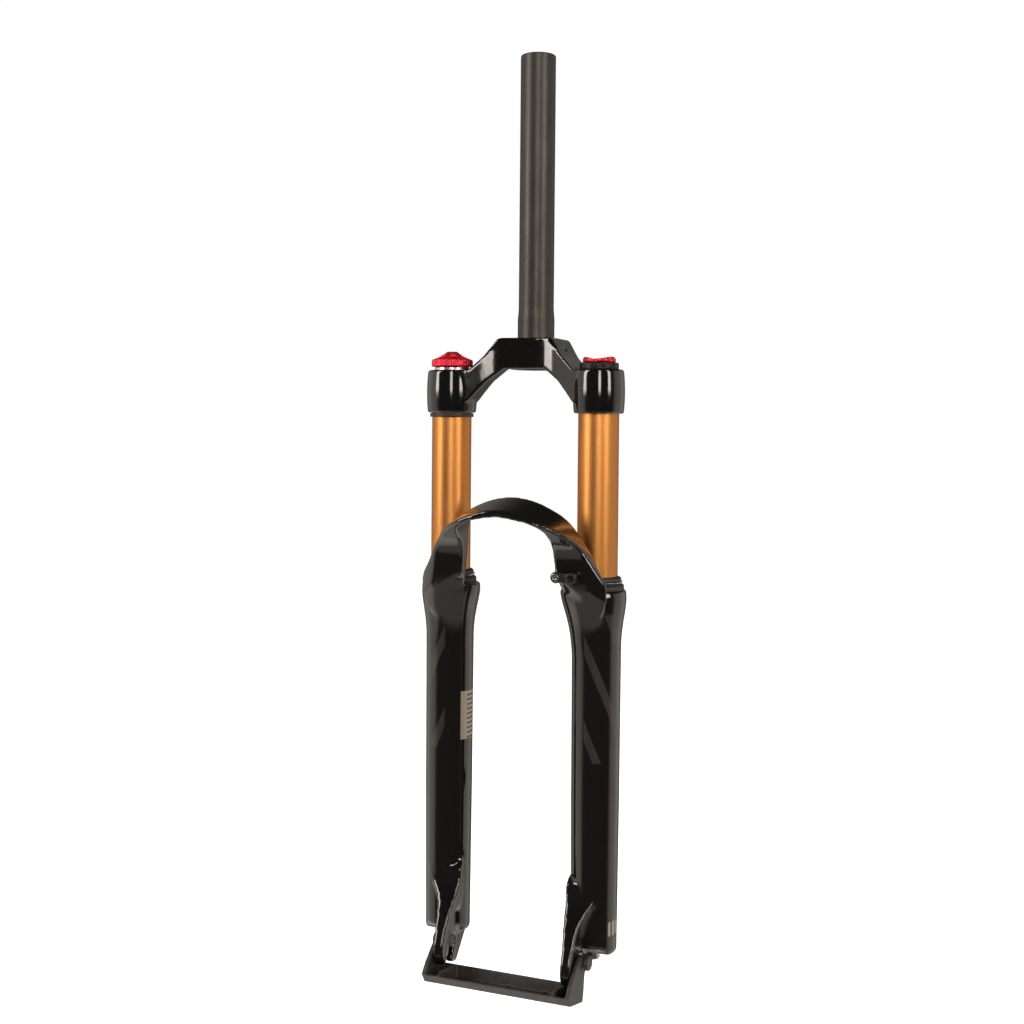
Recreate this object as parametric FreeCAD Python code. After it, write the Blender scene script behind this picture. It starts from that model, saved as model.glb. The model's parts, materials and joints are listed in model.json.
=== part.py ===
import FreeCAD, Part
import math
import os

# Air-sprung bicycle suspension fork. Millimetres. The origin is on the steering axis at the crown race
# seat's lower shoulder, the crown's top face. +Z runs up the steerer, -Y points to the front of the
# bicycle, so -X is the rider's right (damper leg) and +X the rider's left (air leg and disc brake).

os.makedirs("parts", exist_ok=True)
V = FreeCAD.Vector

# Steerer
STEERER_R = 14.3
STEERER_H = 230.0
STEERER_BORE_R = 11.4
RACE_SEAT_R = 15.0
STEERER_PRESS_R = 15.2
RACE_SEAT_H = 16.0
RACE_TAPER_H = 8.0
STEERER_CHAMFER = 0.8

# Overall layout
STANCHION_SPACING = 125.0
CROWN_OFFSET = 27.0
AXLE_TO_CROWN = 485.0
RAKE = 45.0
TRAVEL = 100.0

# Stanchions and the fits on them
STANCHION_R = 16.0
STANCHION_WALL = 2.0
RUNNING_GAP = 0.05
BODY_GAP = 0.3

# Crown
CROWN_H = 25.0
CROWN_BOSS_R = 27.0
CROWN_PLATEAU = 24.0
SOCKET_DROP = 26.0
SOCKET_H = 34.5
SOCKET_WALL = 3.6
SOCKET_BELLY = 0.8
SOCKET_LIP_H = 2.0
SOCKET_EDGE_R = 2.0
CROWN_WEB = 23.0
CROWN_SHELF = 9.0
STEERER_WALL = 5.5
DIMPLE_R = 3.0
DIMPLE_RISE = 1.3

# Top caps, dial and air valve
CAP_FLANGE_H = 2.5
CAP_PLUG_H = 18.0
CAP_SPIGOT_H = 8.0
CAP_HOLE_GAP = 0.4
CAP_GROOVE_UP = 4.0
O_RING_R = 0.9
DIAL_OVERHANG = 2.8
DIAL_RIM_H = 6.0
DIAL_H = 12.2
DIAL_HUB_R = 4.7
DIAL_SKIN = 1.5
DIAL_WINDOWS = 6
DIAL_FLUTES = 36
SHAFT_R = 3.0
SHAFT_LEN = 50.0
GRUB_R = 1.5
AIR_CAP_OVERHANG = 1.4
AIR_CAP_H = 5.2
AIR_CAP_NOTCHES = 12
VALVE_R = 3.9
VALVE_CAP_INSET = 1.0
VALVE_CAP_H = 4.3
VALVE_CAP_DISH = 1.8
VALVE_CAP_BOSS_R = 6.4
VALVE_RECESS = 12.0
VALVE_PIN_R = 0.9
VALVE_CORE_R = 2.3

# Sag ring, wipers and lower legs
SAG_RING_H = 3.2
SAG_RING_T = 1.7
TRAVEL_RESERVE = 26.5
WIPER_H = 10.6
WIPER_SEAT_H = 5.5
FOAM_H = 6.0
WIPER_SEAT_WALL = 4.0
BUSHING_WALL = 1.0
BUSHING_H = 20.0
LEG_RIM_T = 6.9
LEG_BULGE_T = 7.2
LEG_NECK_T = 3.4
LEG_MID_T = 3.0
LEG_FOOT_T = 2.1
LOWER_RELIEF = 0.4
FLOOR_T = 8.0
BOTTOM_GAP = 13.0
FOOT_ABOVE_AXLE = 4.0

# Arch, measured from the leg's rim and the leg's axis
ARCH_GAP = 1.1
ARCH_RISE = 71.6
ARCH_DEPTH = 39.5
ARCH_TILT = 13.0
ARCH_BAND = 5.2
ARCH_ROOT = 60.0
ROOT_AIM = 45.0
ROOT_SWELL = 8.0
WIPER_ROOM = 5.8

# Dropouts, hub and transport spacer
HUB_WIDTH = 100.0
DROPOUT_T = 7.0
AXLE_SLOT_W = 10.0
SLOT_ANGLE = 15.9
DROPOUT_DROP = 17.0
HUB_FACE_R = 12.5
NUT_FACE_R = 10.0
HUB_BOSS_R = 11.5
HUB_BOSS_H = 1.0
SPACER_LEN = 121.0
SPACER_WALL = 2.0
SPACER_DROP = 29.7
SPACER_SIDE_GAP = 0.4
SPACER_PLUG_R = 4.6
SPACER_REACH = 5.5

# Internals
ROD_R = 5.0
FOOT_BOLT_R = 4.0
FOOT_BOLT_HEAD_R = 4.9
FOOT_BOLT_HEAD_H = 6.0
FOOT_BOLT_GRIP = 15.0
WASHER_T = 1.0
CARTRIDGE_GAP = 1.8
CARTRIDGE_WALL = 1.0
PISTON_H = 12.0
BUMPER_H = 10.0
BUMPER_WALL = 4.0
SEAL_HEAD_H = 14.0
CLIP_T = 1.5
CLIP_W = 1.8

# Disc brake posts on the air leg
POST_SPACING = 74.0
POST_ABOVE_AXLE = 27.0
POST_R = 7.5
POST_TAP_R = 2.5
POST_TAP_DEPTH = 16.0
POST_FACE_Y = 9.0
POST_X = 49.5

# Hose guide on the arch's root
GUIDE_LEN = 20.0
GUIDE_H = 7.0
GUIDE_T = 4.0
GUIDE_DROP = 11.6
GUIDE_SCREW_R = 1.6
GUIDE_HEAD_R = 3.2
GUIDE_INSET = 22.0
GUIDE_STANDOFF = 12.5
GUIDE_TAP_BACK = 5.0
GUIDE_BOSS_R = 4.0
GUIDE_PAD_T = 2.5

# Places that follow from the sizes above
LEG_X = STANCHION_SPACING / 2
LEG_Y = -CROWN_OFFSET
AXLE_Y = -RAKE
AXLE_Z = -AXLE_TO_CROWN
SOCKET_TOP = -SOCKET_DROP
SOCKET_BOTTOM = SOCKET_TOP - SOCKET_H
SOCKET_R = STANCHION_R + SOCKET_WALL + SOCKET_BELLY
STANCHION_TOP = SOCKET_TOP - SOCKET_LIP_H
STANCHION_BORE_R = STANCHION_R - STANCHION_WALL
CAP_FLANGE_R = STANCHION_BORE_R
CAP_HOLE_R = CAP_FLANGE_R + CAP_HOLE_GAP
DIAL_R = CAP_FLANGE_R + DIAL_OVERHANG
AIR_CAP_R = CAP_FLANGE_R + AIR_CAP_OVERHANG
VALVE_CAP_R = CAP_FLANGE_R - VALVE_CAP_INSET
CARTRIDGE_R = STANCHION_BORE_R - CARTRIDGE_GAP
CARTRIDGE_BORE_R = CARTRIDGE_R - CARTRIDGE_WALL
WIPER_TOP = SOCKET_BOTTOM - TRAVEL - TRAVEL_RESERVE
RIM_Z = WIPER_TOP - WIPER_H
FOOT_Z = AXLE_Z + FOOT_ABOVE_AXLE
FLOOR_Z = FOOT_Z + FLOOR_T
STANCHION_BOTTOM = FLOOR_Z + TRAVEL + BOTTOM_GAP
BUMPER_R = ROD_R + BUMPER_WALL
BUSHING_R = STANCHION_R + BUSHING_WALL
WIPER_SEAT_R = STANCHION_R + WIPER_SEAT_WALL
ARCH_Y = LEG_Y - SOCKET_R - ARCH_GAP
GUIDE_Y = ARCH_Y - GUIDE_STANDOFF
ARCH_SLOPE = math.tan(math.radians(ARCH_TILT))
FOAM_BOTTOM = RIM_Z - WIPER_SEAT_H - FOAM_H
UPPER_BUSHING_Z = FOAM_BOTTOM - 3.0 - BUSHING_H
LOWER_BUSHING_Z = STANCHION_BOTTOM + 20.0
CAP_TOP = SOCKET_TOP + CAP_FLANGE_H
CAP_PLUG_Z = STANCHION_TOP - CAP_PLUG_H + SOCKET_LIP_H
DIAL_Z = CAP_TOP + BODY_GAP
AIR_CAP_TOP = SOCKET_TOP + AIR_CAP_H
VALVE_CAP_Z = AIR_CAP_TOP + BODY_GAP
SEAL_HEAD_Z = STANCHION_BOTTOM + 4.0
PISTON_Z = SEAL_HEAD_Z + SEAL_HEAD_H + BUMPER_H + BODY_GAP
HUB_X = HUB_WIDTH / 2
PLATE_X = HUB_X + DROPOUT_T
SPACER_X = SPACER_LEN / 2


# Ways of making solids
def wire(place, start, *steps):
    """A closed wire: a step is a point, an arc's middle and end, or a longer list of points on a curve."""
    edges = []
    here = place(*start)
    for step in steps + (start,):
        points = [place(*p) for p in (step if isinstance(step, list) else [step])]
        if len(points) == 1 and points[0].distanceToPoint(here) > 1e-6:
            edges.append(Part.LineSegment(here, points[0]).toShape())
        elif len(points) == 2:
            edges.append(Part.Arc(here, *points).toShape())
        elif len(points) > 2:
            curve = Part.BSplineCurve()
            curve.interpolate([here] + points)
            edges.append(curve.toShape())
        here = points[-1]
    return Part.Wire(edges)


def prism(outline, along):
    return Part.Face(outline).extrude(along)


def in_xy(z):
    return lambda a, b: V(a, b, z)


def in_xz(y):
    return lambda a, b: V(a, y, b)


def in_yz(x):
    return lambda a, b: V(x, a, b)


def turned(x, y, start, *steps):
    """A solid of revolution about the vertical line at x, y from an outline of (radius, height)."""
    outline = wire(lambda r, z: V(x + r, y, z), start, *steps)
    return Part.Face(outline).revolve(V(x, y, 0), V(0, 0, 1), 360)


def rod(radius, low, high, x=0.0, y=0.0):
    return Part.makeCylinder(radius, high - low, V(x, y, low))


def ring(outer, inner, low, high, x=0.0, y=0.0):
    return rod(outer, low, high, x, y).cut(rod(inner, low - 1, high + 1, x, y))


def cross_rod(radius, start, end):
    """A round bar between two points."""
    return Part.makeCylinder(radius, start.distanceToPoint(end), start, end - start)


def box(low, high):
    return Part.makeBox(high[0] - low[0], high[1] - low[1], high[2] - low[2], V(*low))


def round_about(shape, count, x, y):
    """Copies of a shape, evenly turned about the vertical line at x, y."""
    copies = []
    for n in range(count):
        copy = shape.copy()
        copy.rotate(V(x, y, 0), V(0, 0, 1), 360.0 * n / count)
        copies.append(copy)
    return copies


def mirrored(shape):
    return shape.mirror(V(0, 0, 0), V(1, 0, 0))


# Upper assembly
def steerer_tube():
    foot = -CROWN_H
    return turned(
        0, 0,
        (STEERER_BORE_R, foot),
        (STEERER_PRESS_R, foot),
        (STEERER_PRESS_R, 0),
        (RACE_SEAT_R, 0),
        (RACE_SEAT_R, RACE_SEAT_H),
        (STEERER_R, RACE_SEAT_H + RACE_TAPER_H),
        (STEERER_R, STEERER_H - STEERER_CHAMFER),
        (STEERER_R - STEERER_CHAMFER, STEERER_H),
        (STEERER_BORE_R + STEERER_CHAMFER, STEERER_H),
        (STEERER_BORE_R, STEERER_H - STEERER_CHAMFER),
    )


def socket(x):
    """The barrel that holds a stanchion's top."""
    end_r = STANCHION_R + SOCKET_WALL
    return turned(
        x, LEG_Y,
        (0, SOCKET_BOTTOM),
        (end_r - 0.5, SOCKET_BOTTOM),
        (end_r, SOCKET_BOTTOM + 0.5),
        [(SOCKET_R, SOCKET_BOTTOM + SOCKET_H / 2 - 0.75), (end_r, SOCKET_TOP - SOCKET_EDGE_R)],
        [(end_r - 0.6, SOCKET_TOP - 0.6), (end_r - SOCKET_EDGE_R, SOCKET_TOP)],
        (0, SOCKET_TOP),
    )


def crown_top_line():
    """Heights along the crown's top, from the plateau's edge out to a socket, as (x, z)."""
    edge = CROWN_PLATEAU
    return [
        (edge + 6, -0.42 * SOCKET_DROP),
        (edge + 9, -0.58 * SOCKET_DROP),
        (edge + 13, -0.73 * SOCKET_DROP),
        (LEG_X - STANCHION_R - 2.5, SOCKET_TOP),
    ]


def crown_elevation(place, floor_line):
    """The crown's front outline between its top line and a lower line, both given for +X."""
    top = [(CROWN_PLATEAU, -1.6)] + crown_top_line() + [(LEG_X, SOCKET_TOP)]
    half = [(CROWN_PLATEAU - 2, 0.0)] + top + floor_line
    other = [(-x, z) for x, z in reversed(half)]
    return wire(place, half[0], *(half[1:] + other))


def crown():
    front = LEG_Y - 20.0
    plan = wire(
        in_xy(SOCKET_BOTTOM - 1),
        (-LEG_X, front + 1),
        [
            (-LEG_X + 22.5, LEG_Y - 10),
            (-CROWN_BOSS_R + 6, -CROWN_BOSS_R - 2.5),
            (0, -CROWN_BOSS_R - 0.5),
            (CROWN_BOSS_R - 6, -CROWN_BOSS_R - 2.5),
            (LEG_X - 22.5, LEG_Y - 10),
            (LEG_X, front + 1),
        ],
        (LEG_X, LEG_Y + 18),
        [
            (LEG_X - 25.5, CROWN_BOSS_R - 17),
            (CROWN_BOSS_R + 3, CROWN_BOSS_R - 13),
            (CROWN_BOSS_R * 0.7, CROWN_BOSS_R * 0.72),
            (0, CROWN_BOSS_R),
            (-CROWN_BOSS_R * 0.7, CROWN_BOSS_R * 0.72),
            (-CROWN_BOSS_R - 3, CROWN_BOSS_R - 13),
            (-LEG_X + 25.5, CROWN_BOSS_R - 17),
            (-LEG_X, LEG_Y + 18),
        ],
    )
    deep = [
        (LEG_X, SOCKET_BOTTOM),
        (LEG_X - 19, SOCKET_BOTTOM + 9.5),
        (LEG_X - 25.5, -CROWN_H - 18),
        (LEG_X - 32.5, -CROWN_H - 10),
        (CROWN_PLATEAU - 7, -CROWN_H),
    ]
    shelf = [
        (LEG_X, SOCKET_TOP - CROWN_SHELF - 2),
        (LEG_X - 18.5, SOCKET_TOP - CROWN_SHELF - 2),
        (CROWN_PLATEAU + 9, -15.0 - CROWN_SHELF),
        (CROWN_PLATEAU, -3.0 - CROWN_SHELF),
    ]
    back = CROWN_BOSS_R + 10
    web_back = LEG_Y + CROWN_WEB / 2
    outline = prism(plan, V(0, 0, SOCKET_H + SOCKET_DROP + 2))
    web = prism(crown_elevation(in_xz(front - 5), deep), V(0, web_back - front + 5, 0))
    deck = prism(crown_elevation(in_xz(web_back - 1), shelf), V(0, back - web_back + 1, 0))
    boss = rod(STEERER_PRESS_R + STEERER_WALL, -CROWN_H, -1.0)
    body = outline.common(web.fuse(deck)).fuse([boss, socket(-LEG_X), socket(LEG_X)])
    for x in (-LEG_X, LEG_X):
        body = body.cut(rod(STANCHION_R, SOCKET_BOTTOM - 1, STANCHION_TOP, x, LEG_Y))
        body = body.cut(rod(CAP_HOLE_R, STANCHION_TOP - 1, 1, x, LEG_Y))
        body = body.cut(rod(SOCKET_R, SOCKET_TOP, 5, x, LEG_Y))
    dimple_z = -0.36 * SOCKET_DROP + DIMPLE_RISE
    for x in (-CROWN_PLATEAU - 6, CROWN_PLATEAU + 6):
        body = body.cut(Part.makeSphere(DIMPLE_R, V(x, -10, dimple_z)))
    return body.cut(rod(STEERER_PRESS_R, -CROWN_H - 1, 1)).removeSplitter()


def stanchion(x):
    return turned(
        x, LEG_Y,
        (STANCHION_BORE_R, STANCHION_BOTTOM),
        (STANCHION_R - 1, STANCHION_BOTTOM),
        (STANCHION_R, STANCHION_BOTTOM + 1.5),
        (STANCHION_R, STANCHION_TOP),
        (STANCHION_BORE_R, STANCHION_TOP),
    )


def cap_plug(x, low):
    """The threaded plug under a top cap, with its O-ring groove."""
    groove_z = CAP_PLUG_Z + CAP_GROOVE_UP
    plug = rod(STANCHION_BORE_R, low, SOCKET_TOP, x, LEG_Y)
    groove = ring(STANCHION_BORE_R + 1, STANCHION_BORE_R - 2 * O_RING_R, groove_z - O_RING_R,
                  groove_z + O_RING_R, x, LEG_Y)
    return plug.cut(groove)


def damper_top_cap():
    spigot = rod(CARTRIDGE_BORE_R, CAP_PLUG_Z - CAP_SPIGOT_H, CAP_PLUG_Z, -LEG_X, LEG_Y)
    flange = turned(
        -LEG_X, LEG_Y,
        (0, SOCKET_TOP),
        (CAP_FLANGE_R, SOCKET_TOP),
        (CAP_FLANGE_R, CAP_TOP - 0.5),
        (CAP_FLANGE_R - 0.5, CAP_TOP),
        (0, CAP_TOP),
    )
    cap = flange.fuse([cap_plug(-LEG_X, CAP_PLUG_Z), spigot])
    return cap.cut(rod(SHAFT_R + RUNNING_GAP, -SOCKET_DROP - 60, 0, -LEG_X, LEG_Y)).removeSplitter()


def air_top_cap():
    head = turned(
        LEG_X, LEG_Y,
        (0, SOCKET_TOP),
        (AIR_CAP_R, SOCKET_TOP),
        (AIR_CAP_R, AIR_CAP_TOP - 0.8),
        (AIR_CAP_R - 0.8, AIR_CAP_TOP),
        (0, AIR_CAP_TOP),
    )
    notch = rod(1.6, SOCKET_TOP + 1.6, 0, LEG_X + AIR_CAP_R + 0.2, LEG_Y)
    cap = head.cut(round_about(notch, AIR_CAP_NOTCHES, LEG_X, LEG_Y)).fuse(cap_plug(LEG_X, CAP_PLUG_Z))
    recess = rod(VALVE_CAP_BOSS_R + 0.6, AIR_CAP_TOP - VALVE_RECESS, 0, LEG_X, LEG_Y)
    return cap.cut([recess, rod(VALVE_R, CAP_PLUG_Z - 1, 0, LEG_X, LEG_Y)]).removeSplitter()


def top_cap_o_rings():
    groove_z = CAP_PLUG_Z + CAP_GROOVE_UP
    rings = []
    for x in (-LEG_X, LEG_X):
        rings.append(Part.makeTorus(STANCHION_BORE_R - O_RING_R, O_RING_R, V(x, LEG_Y, groove_z)))
    return Part.makeCompound(rings)


def air_valve_stem():
    top = AIR_CAP_TOP - 1.2
    stem = turned(
        LEG_X, LEG_Y,
        (0, CAP_PLUG_Z),
        (VALVE_R, CAP_PLUG_Z),
        (VALVE_R, top - 0.5),
        (VALVE_R - 0.5, top),
        (0, top),
    )
    core_hole = rod(VALVE_CORE_R, CAP_PLUG_Z + 4, top + 1, LEG_X, LEG_Y)
    return stem.cut([core_hole, rod(1.4, CAP_PLUG_Z - 1, top, LEG_X, LEG_Y)])


def valve_core():
    return ring(VALVE_CORE_R, VALVE_PIN_R + RUNNING_GAP, CAP_PLUG_Z + 4, AIR_CAP_TOP - 4.5, LEG_X, LEG_Y)


def valve_core_pin():
    top = AIR_CAP_TOP - 1.5
    pin = rod(VALVE_PIN_R, CAP_PLUG_Z + 3, top, LEG_X, LEG_Y)
    return pin.fuse(rod(1.3, top - 0.8, top, LEG_X, LEG_Y)).removeSplitter()


def damper_cartridge_tube():
    low = SEAL_HEAD_Z + SEAL_HEAD_H
    return ring(CARTRIDGE_R, CARTRIDGE_BORE_R, low, CAP_PLUG_Z, -LEG_X, LEG_Y)


def compression_base_valve():
    low = CAP_PLUG_Z - CAP_SPIGOT_H - 14
    valve = rod(CARTRIDGE_BORE_R, low, low + 8, -LEG_X, LEG_Y)
    port = rod(1.3, low - 1, low + 9, -LEG_X + 7, LEG_Y)
    shaft_hole = rod(SHAFT_R + RUNNING_GAP, low + 2, low + 9, -LEG_X, LEG_Y)
    return valve.cut(round_about(port, 6, -LEG_X, LEG_Y) + [shaft_hole])


def cartridge_head():
    top = SEAL_HEAD_Z + SEAL_HEAD_H
    head = rod(CARTRIDGE_R, SEAL_HEAD_Z, top, -LEG_X, LEG_Y)
    spigot = rod(CARTRIDGE_BORE_R, top, top + 8, -LEG_X, LEG_Y)
    rod_hole = rod(ROD_R + RUNNING_GAP, SEAL_HEAD_Z - 1, top + 9, -LEG_X, LEG_Y)
    return head.fuse(spigot).cut(rod_hole).removeSplitter()


def air_seal_head():
    top = SEAL_HEAD_Z + SEAL_HEAD_H
    return ring(STANCHION_BORE_R, ROD_R + RUNNING_GAP, SEAL_HEAD_Z, top, LEG_X, LEG_Y)


def seal_head_circlip():
    inner = STANCHION_BORE_R - CLIP_W
    clip = ring(STANCHION_BORE_R, inner, SEAL_HEAD_Z - CLIP_T, SEAL_HEAD_Z, LEG_X, LEG_Y)
    mouth_low = (LEG_X, LEG_Y - 3, SEAL_HEAD_Z - 5)
    mouth_high = (LEG_X + STANCHION_R, LEG_Y + 3, SEAL_HEAD_Z + 5)
    return clip.cut(box(mouth_low, mouth_high))


def top_out_bumper():
    low = SEAL_HEAD_Z + SEAL_HEAD_H
    return ring(BUMPER_R, ROD_R + BODY_GAP, low, low + BUMPER_H, LEG_X, LEG_Y)


def sag_o_ring():
    low = SOCKET_BOTTOM - 0.3 - SAG_RING_H
    high = low + SAG_RING_H
    outer = STANCHION_R + SAG_RING_T
    return turned(
        -LEG_X, LEG_Y,
        (STANCHION_R, low + 0.5),
        [(STANCHION_R + 0.2, low + 0.15), (STANCHION_R + 0.5, low)],
        (outer - 0.8, low),
        [(outer, low + SAG_RING_H / 2), (outer - 0.8, high)],
        (STANCHION_R + 0.5, high),
        [(STANCHION_R + 0.2, high - 0.15), (STANCHION_R, high - 0.5)],
    )


# Lower assembly
def leg(x):
    """One hollow leg of the casting, before its bores."""
    r = STANCHION_R
    return turned(
        x, LEG_Y,
        (0, FOOT_Z),
        (r + LEG_FOOT_T - 1.6, FOOT_Z),
        [(r + LEG_FOOT_T - 0.5, FOOT_Z + 0.5), (r + LEG_FOOT_T, FOOT_Z + 1.6)],
        (r + LEG_FOOT_T + 0.3, FOOT_Z + 45),
        (r + LEG_MID_T, FOOT_Z + 121),
        (r + LEG_NECK_T, RIM_Z - 42),
        [
            (r + LEG_NECK_T + 0.6, RIM_Z - 33),
            (r + LEG_BULGE_T - 1.4, RIM_Z - 20),
            (r + LEG_BULGE_T, RIM_Z - 8),
            (r + LEG_RIM_T, RIM_Z - 1.2),
        ],
        [(r + LEG_RIM_T - 0.4, RIM_Z - 0.35), (r + LEG_RIM_T - 1.2, RIM_Z)],
        (0, RIM_Z),
    )


def leg_bores(x):
    """What is cut from a leg: wiper seat, bushing bore, lower relief and foot bolt hole."""
    relief_top = LOWER_BUSHING_Z - 5
    return [
        rod(WIPER_SEAT_R, FOAM_BOTTOM, RIM_Z + 1, x, LEG_Y),
        rod(BUSHING_R, relief_top, RIM_Z, x, LEG_Y),
        rod(STANCHION_R + LOWER_RELIEF, FLOOR_Z, relief_top + 1, x, LEG_Y),
        rod(FOOT_BOLT_R + BODY_GAP, FOOT_Z - 1, FLOOR_Z + 1, x, LEG_Y),
    ]


def root_fairing():
    """The swelling that carries the arch's +X root into the leg, fullest towards the wheel."""
    aim = math.radians(-ROOT_AIM)
    wires = []
    for drop, skin, swell in (
        (1.0, LEG_MID_T - 0.2, 0.0), (0.8, LEG_MID_T - 0.1, 0.9), (0.6, LEG_NECK_T - 0.1, 1.9),
        (0.4, LEG_BULGE_T - 2.6, 3.2), (0.2, LEG_BULGE_T - 0.7, 5.0), (0.0, LEG_RIM_T - 0.9, ROOT_SWELL),
    ):
        points = []
        for n in range(16):
            turn = math.radians(22.5 * n)
            r = STANCHION_R + skin + swell * max(0.0, math.cos(turn - aim)) ** 2
            across = LEG_X + r * math.sin(turn)
            points.append(V(across, LEG_Y - r * math.cos(turn), RIM_Z - ARCH_ROOT * drop))
        curve = Part.BSplineCurve()
        curve.interpolate(Points=points, PeriodicFlag=True)
        wires.append(Part.Wire(curve.toShape()))
    return Part.makeLoft(wires, True)


def root_flare(x):
    """The room that the arch may fill round a leg: it narrows down to the fairing at the rim."""
    r = STANCHION_R + LEG_RIM_T
    z = RIM_Z
    return turned(
        x, LEG_Y,
        (0, z - 30),
        (r - 2.2, z - 30),
        [
            (r - 0.6, z - 24), (r + 1.6, z - 16), (r + 4.2, z - 8),
            (r + 7.4, z - 1), (r + 10.5, z + 4), (r + 14, z + 9),
        ],
        (0, z + 9),
    )


def arch():
    """The bridge in front of the stanchions, as the overlap of its front, top and side outlines."""
    x = LEG_X
    z = RIM_Z
    front_drop = ARCH_DEPTH * ARCH_SLOPE
    under = ARCH_RISE - ARCH_BAND
    outer = [
        (15, z + ARCH_RISE - 1.8), (x - 31, z + ARCH_RISE - 8), (x - 18.5, z + ARCH_RISE - 15.5),
        (x - 10.5, z + ARCH_RISE - 23.5), (x + 1.2, z + 31.6), (x + 8, z + 18.6), (x + 14.3, z + 7.4),
    ]
    tip = (x, z - ARCH_ROOT)
    root = [
        (x + 15.2, z + 0.6), (x + 14.9, z - 18.4), (x + 12.5, z - ARCH_ROOT * 0.7),
        (x + 5, z - ARCH_ROOT + 4),
    ]
    inner = [
        (x - 7, z - ARCH_ROOT + 3), (x - 15.5, z - ARCH_ROOT * 0.75), (x - 18.8, z - 30), (x - 20, z - 14),
        (x - 22.1, z + 2), (x - 24.8, z + 28), (x - 25.4, z + under - 27),
        (x - 28.8, z + under - 10), (x - 37, z + under - 4.5), (17.8, z + under - 2.5),
    ]
    half = [(0, z + ARCH_RISE)] + outer
    left = [(-a, b) for a, b in reversed(outer)]
    left_root = [(-a, b) for a, b in reversed(root)]
    left_inner = [(-a, b) for a, b in reversed(inner)]
    left_tip = (-tip[0], tip[1])
    front = wire(
        in_xz(ARCH_Y),
        (-root[0][0], root[0][1]),
        left + half,
        root[0],
        root[1:] + [tip],
        inner + [(0, z + under)] + left_inner + [left_tip],
        left_root,
    )
    slab = prism(front, V(0, -ARCH_DEPTH, -front_drop))
    nose = ARCH_Y - ARCH_DEPTH
    top = wire(
        in_xy(z - 60),
        (-x - 17, ARCH_Y + 10),
        (-x - 17, ARCH_Y),
        [
            (-x - 14.5, ARCH_Y - 2), (-x - 7.5, ARCH_Y - 7), (-x + 2.5, ARCH_Y - 14),
            (-x + 10.5, ARCH_Y - 24), (-x + 18.5, ARCH_Y - 31), (-x + 27, nose + 3),
            (-20, nose + 0.6), (0, nose + 0.1), (20, nose + 0.6),
            (x - 27, nose + 3), (x - 18.5, ARCH_Y - 31), (x - 10.5, ARCH_Y - 24),
            (x - 2.5, ARCH_Y - 14), (x + 7.5, ARCH_Y - 7), (x + 14.5, ARCH_Y - 2),
            (x + 17, ARCH_Y),
        ],
        (x + 17, ARCH_Y + 10),
    )
    side = wire(
        in_yz(-x - 30),
        (nose - 5, z + ARCH_RISE + 5),
        (nose - 5, z + under - 6),
        [
            (ARCH_Y - 34, z + under - 17), (ARCH_Y - 22, z + under - 26), (ARCH_Y - 14, z + 31),
            (ARCH_Y - 11.5, z + 17), (ARCH_Y - 8.5, z - 2), (ARCH_Y - 3.5, z - 20),
            (ARCH_Y + 1.5, z - 42), (ARCH_Y + 4, z - ARCH_ROOT),
        ],
        (LEG_Y, z - ARCH_ROOT),
        (LEG_Y, z + ARCH_RISE + 5),
    )
    bridge = slab.common(prism(top, V(0, 0, 200))).common(prism(side, V(2 * x + 60, 0, 0)))
    limit = box((-x - 40, nose - 10, z + 8), (x + 40, LEG_Y + 5, z + ARCH_RISE + 5))
    bridge = bridge.common(limit.fuse([root_flare(-x), root_flare(x)]))
    for leg_x in (-x, x):
        bridge = bridge.cut(rod(STANCHION_R + WIPER_ROOM, z, z + 100, leg_x, LEG_Y))
    return bridge


def slot_point(across, along):
    """A (y, z) point measured from the axle: along is down the slot, across is towards the rear."""
    a = math.radians(SLOT_ANGLE)
    y = AXLE_Y + across * math.cos(a) - along * math.sin(a)
    z = AXLE_Z - across * math.sin(a) - along * math.cos(a)
    return y, z


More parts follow.
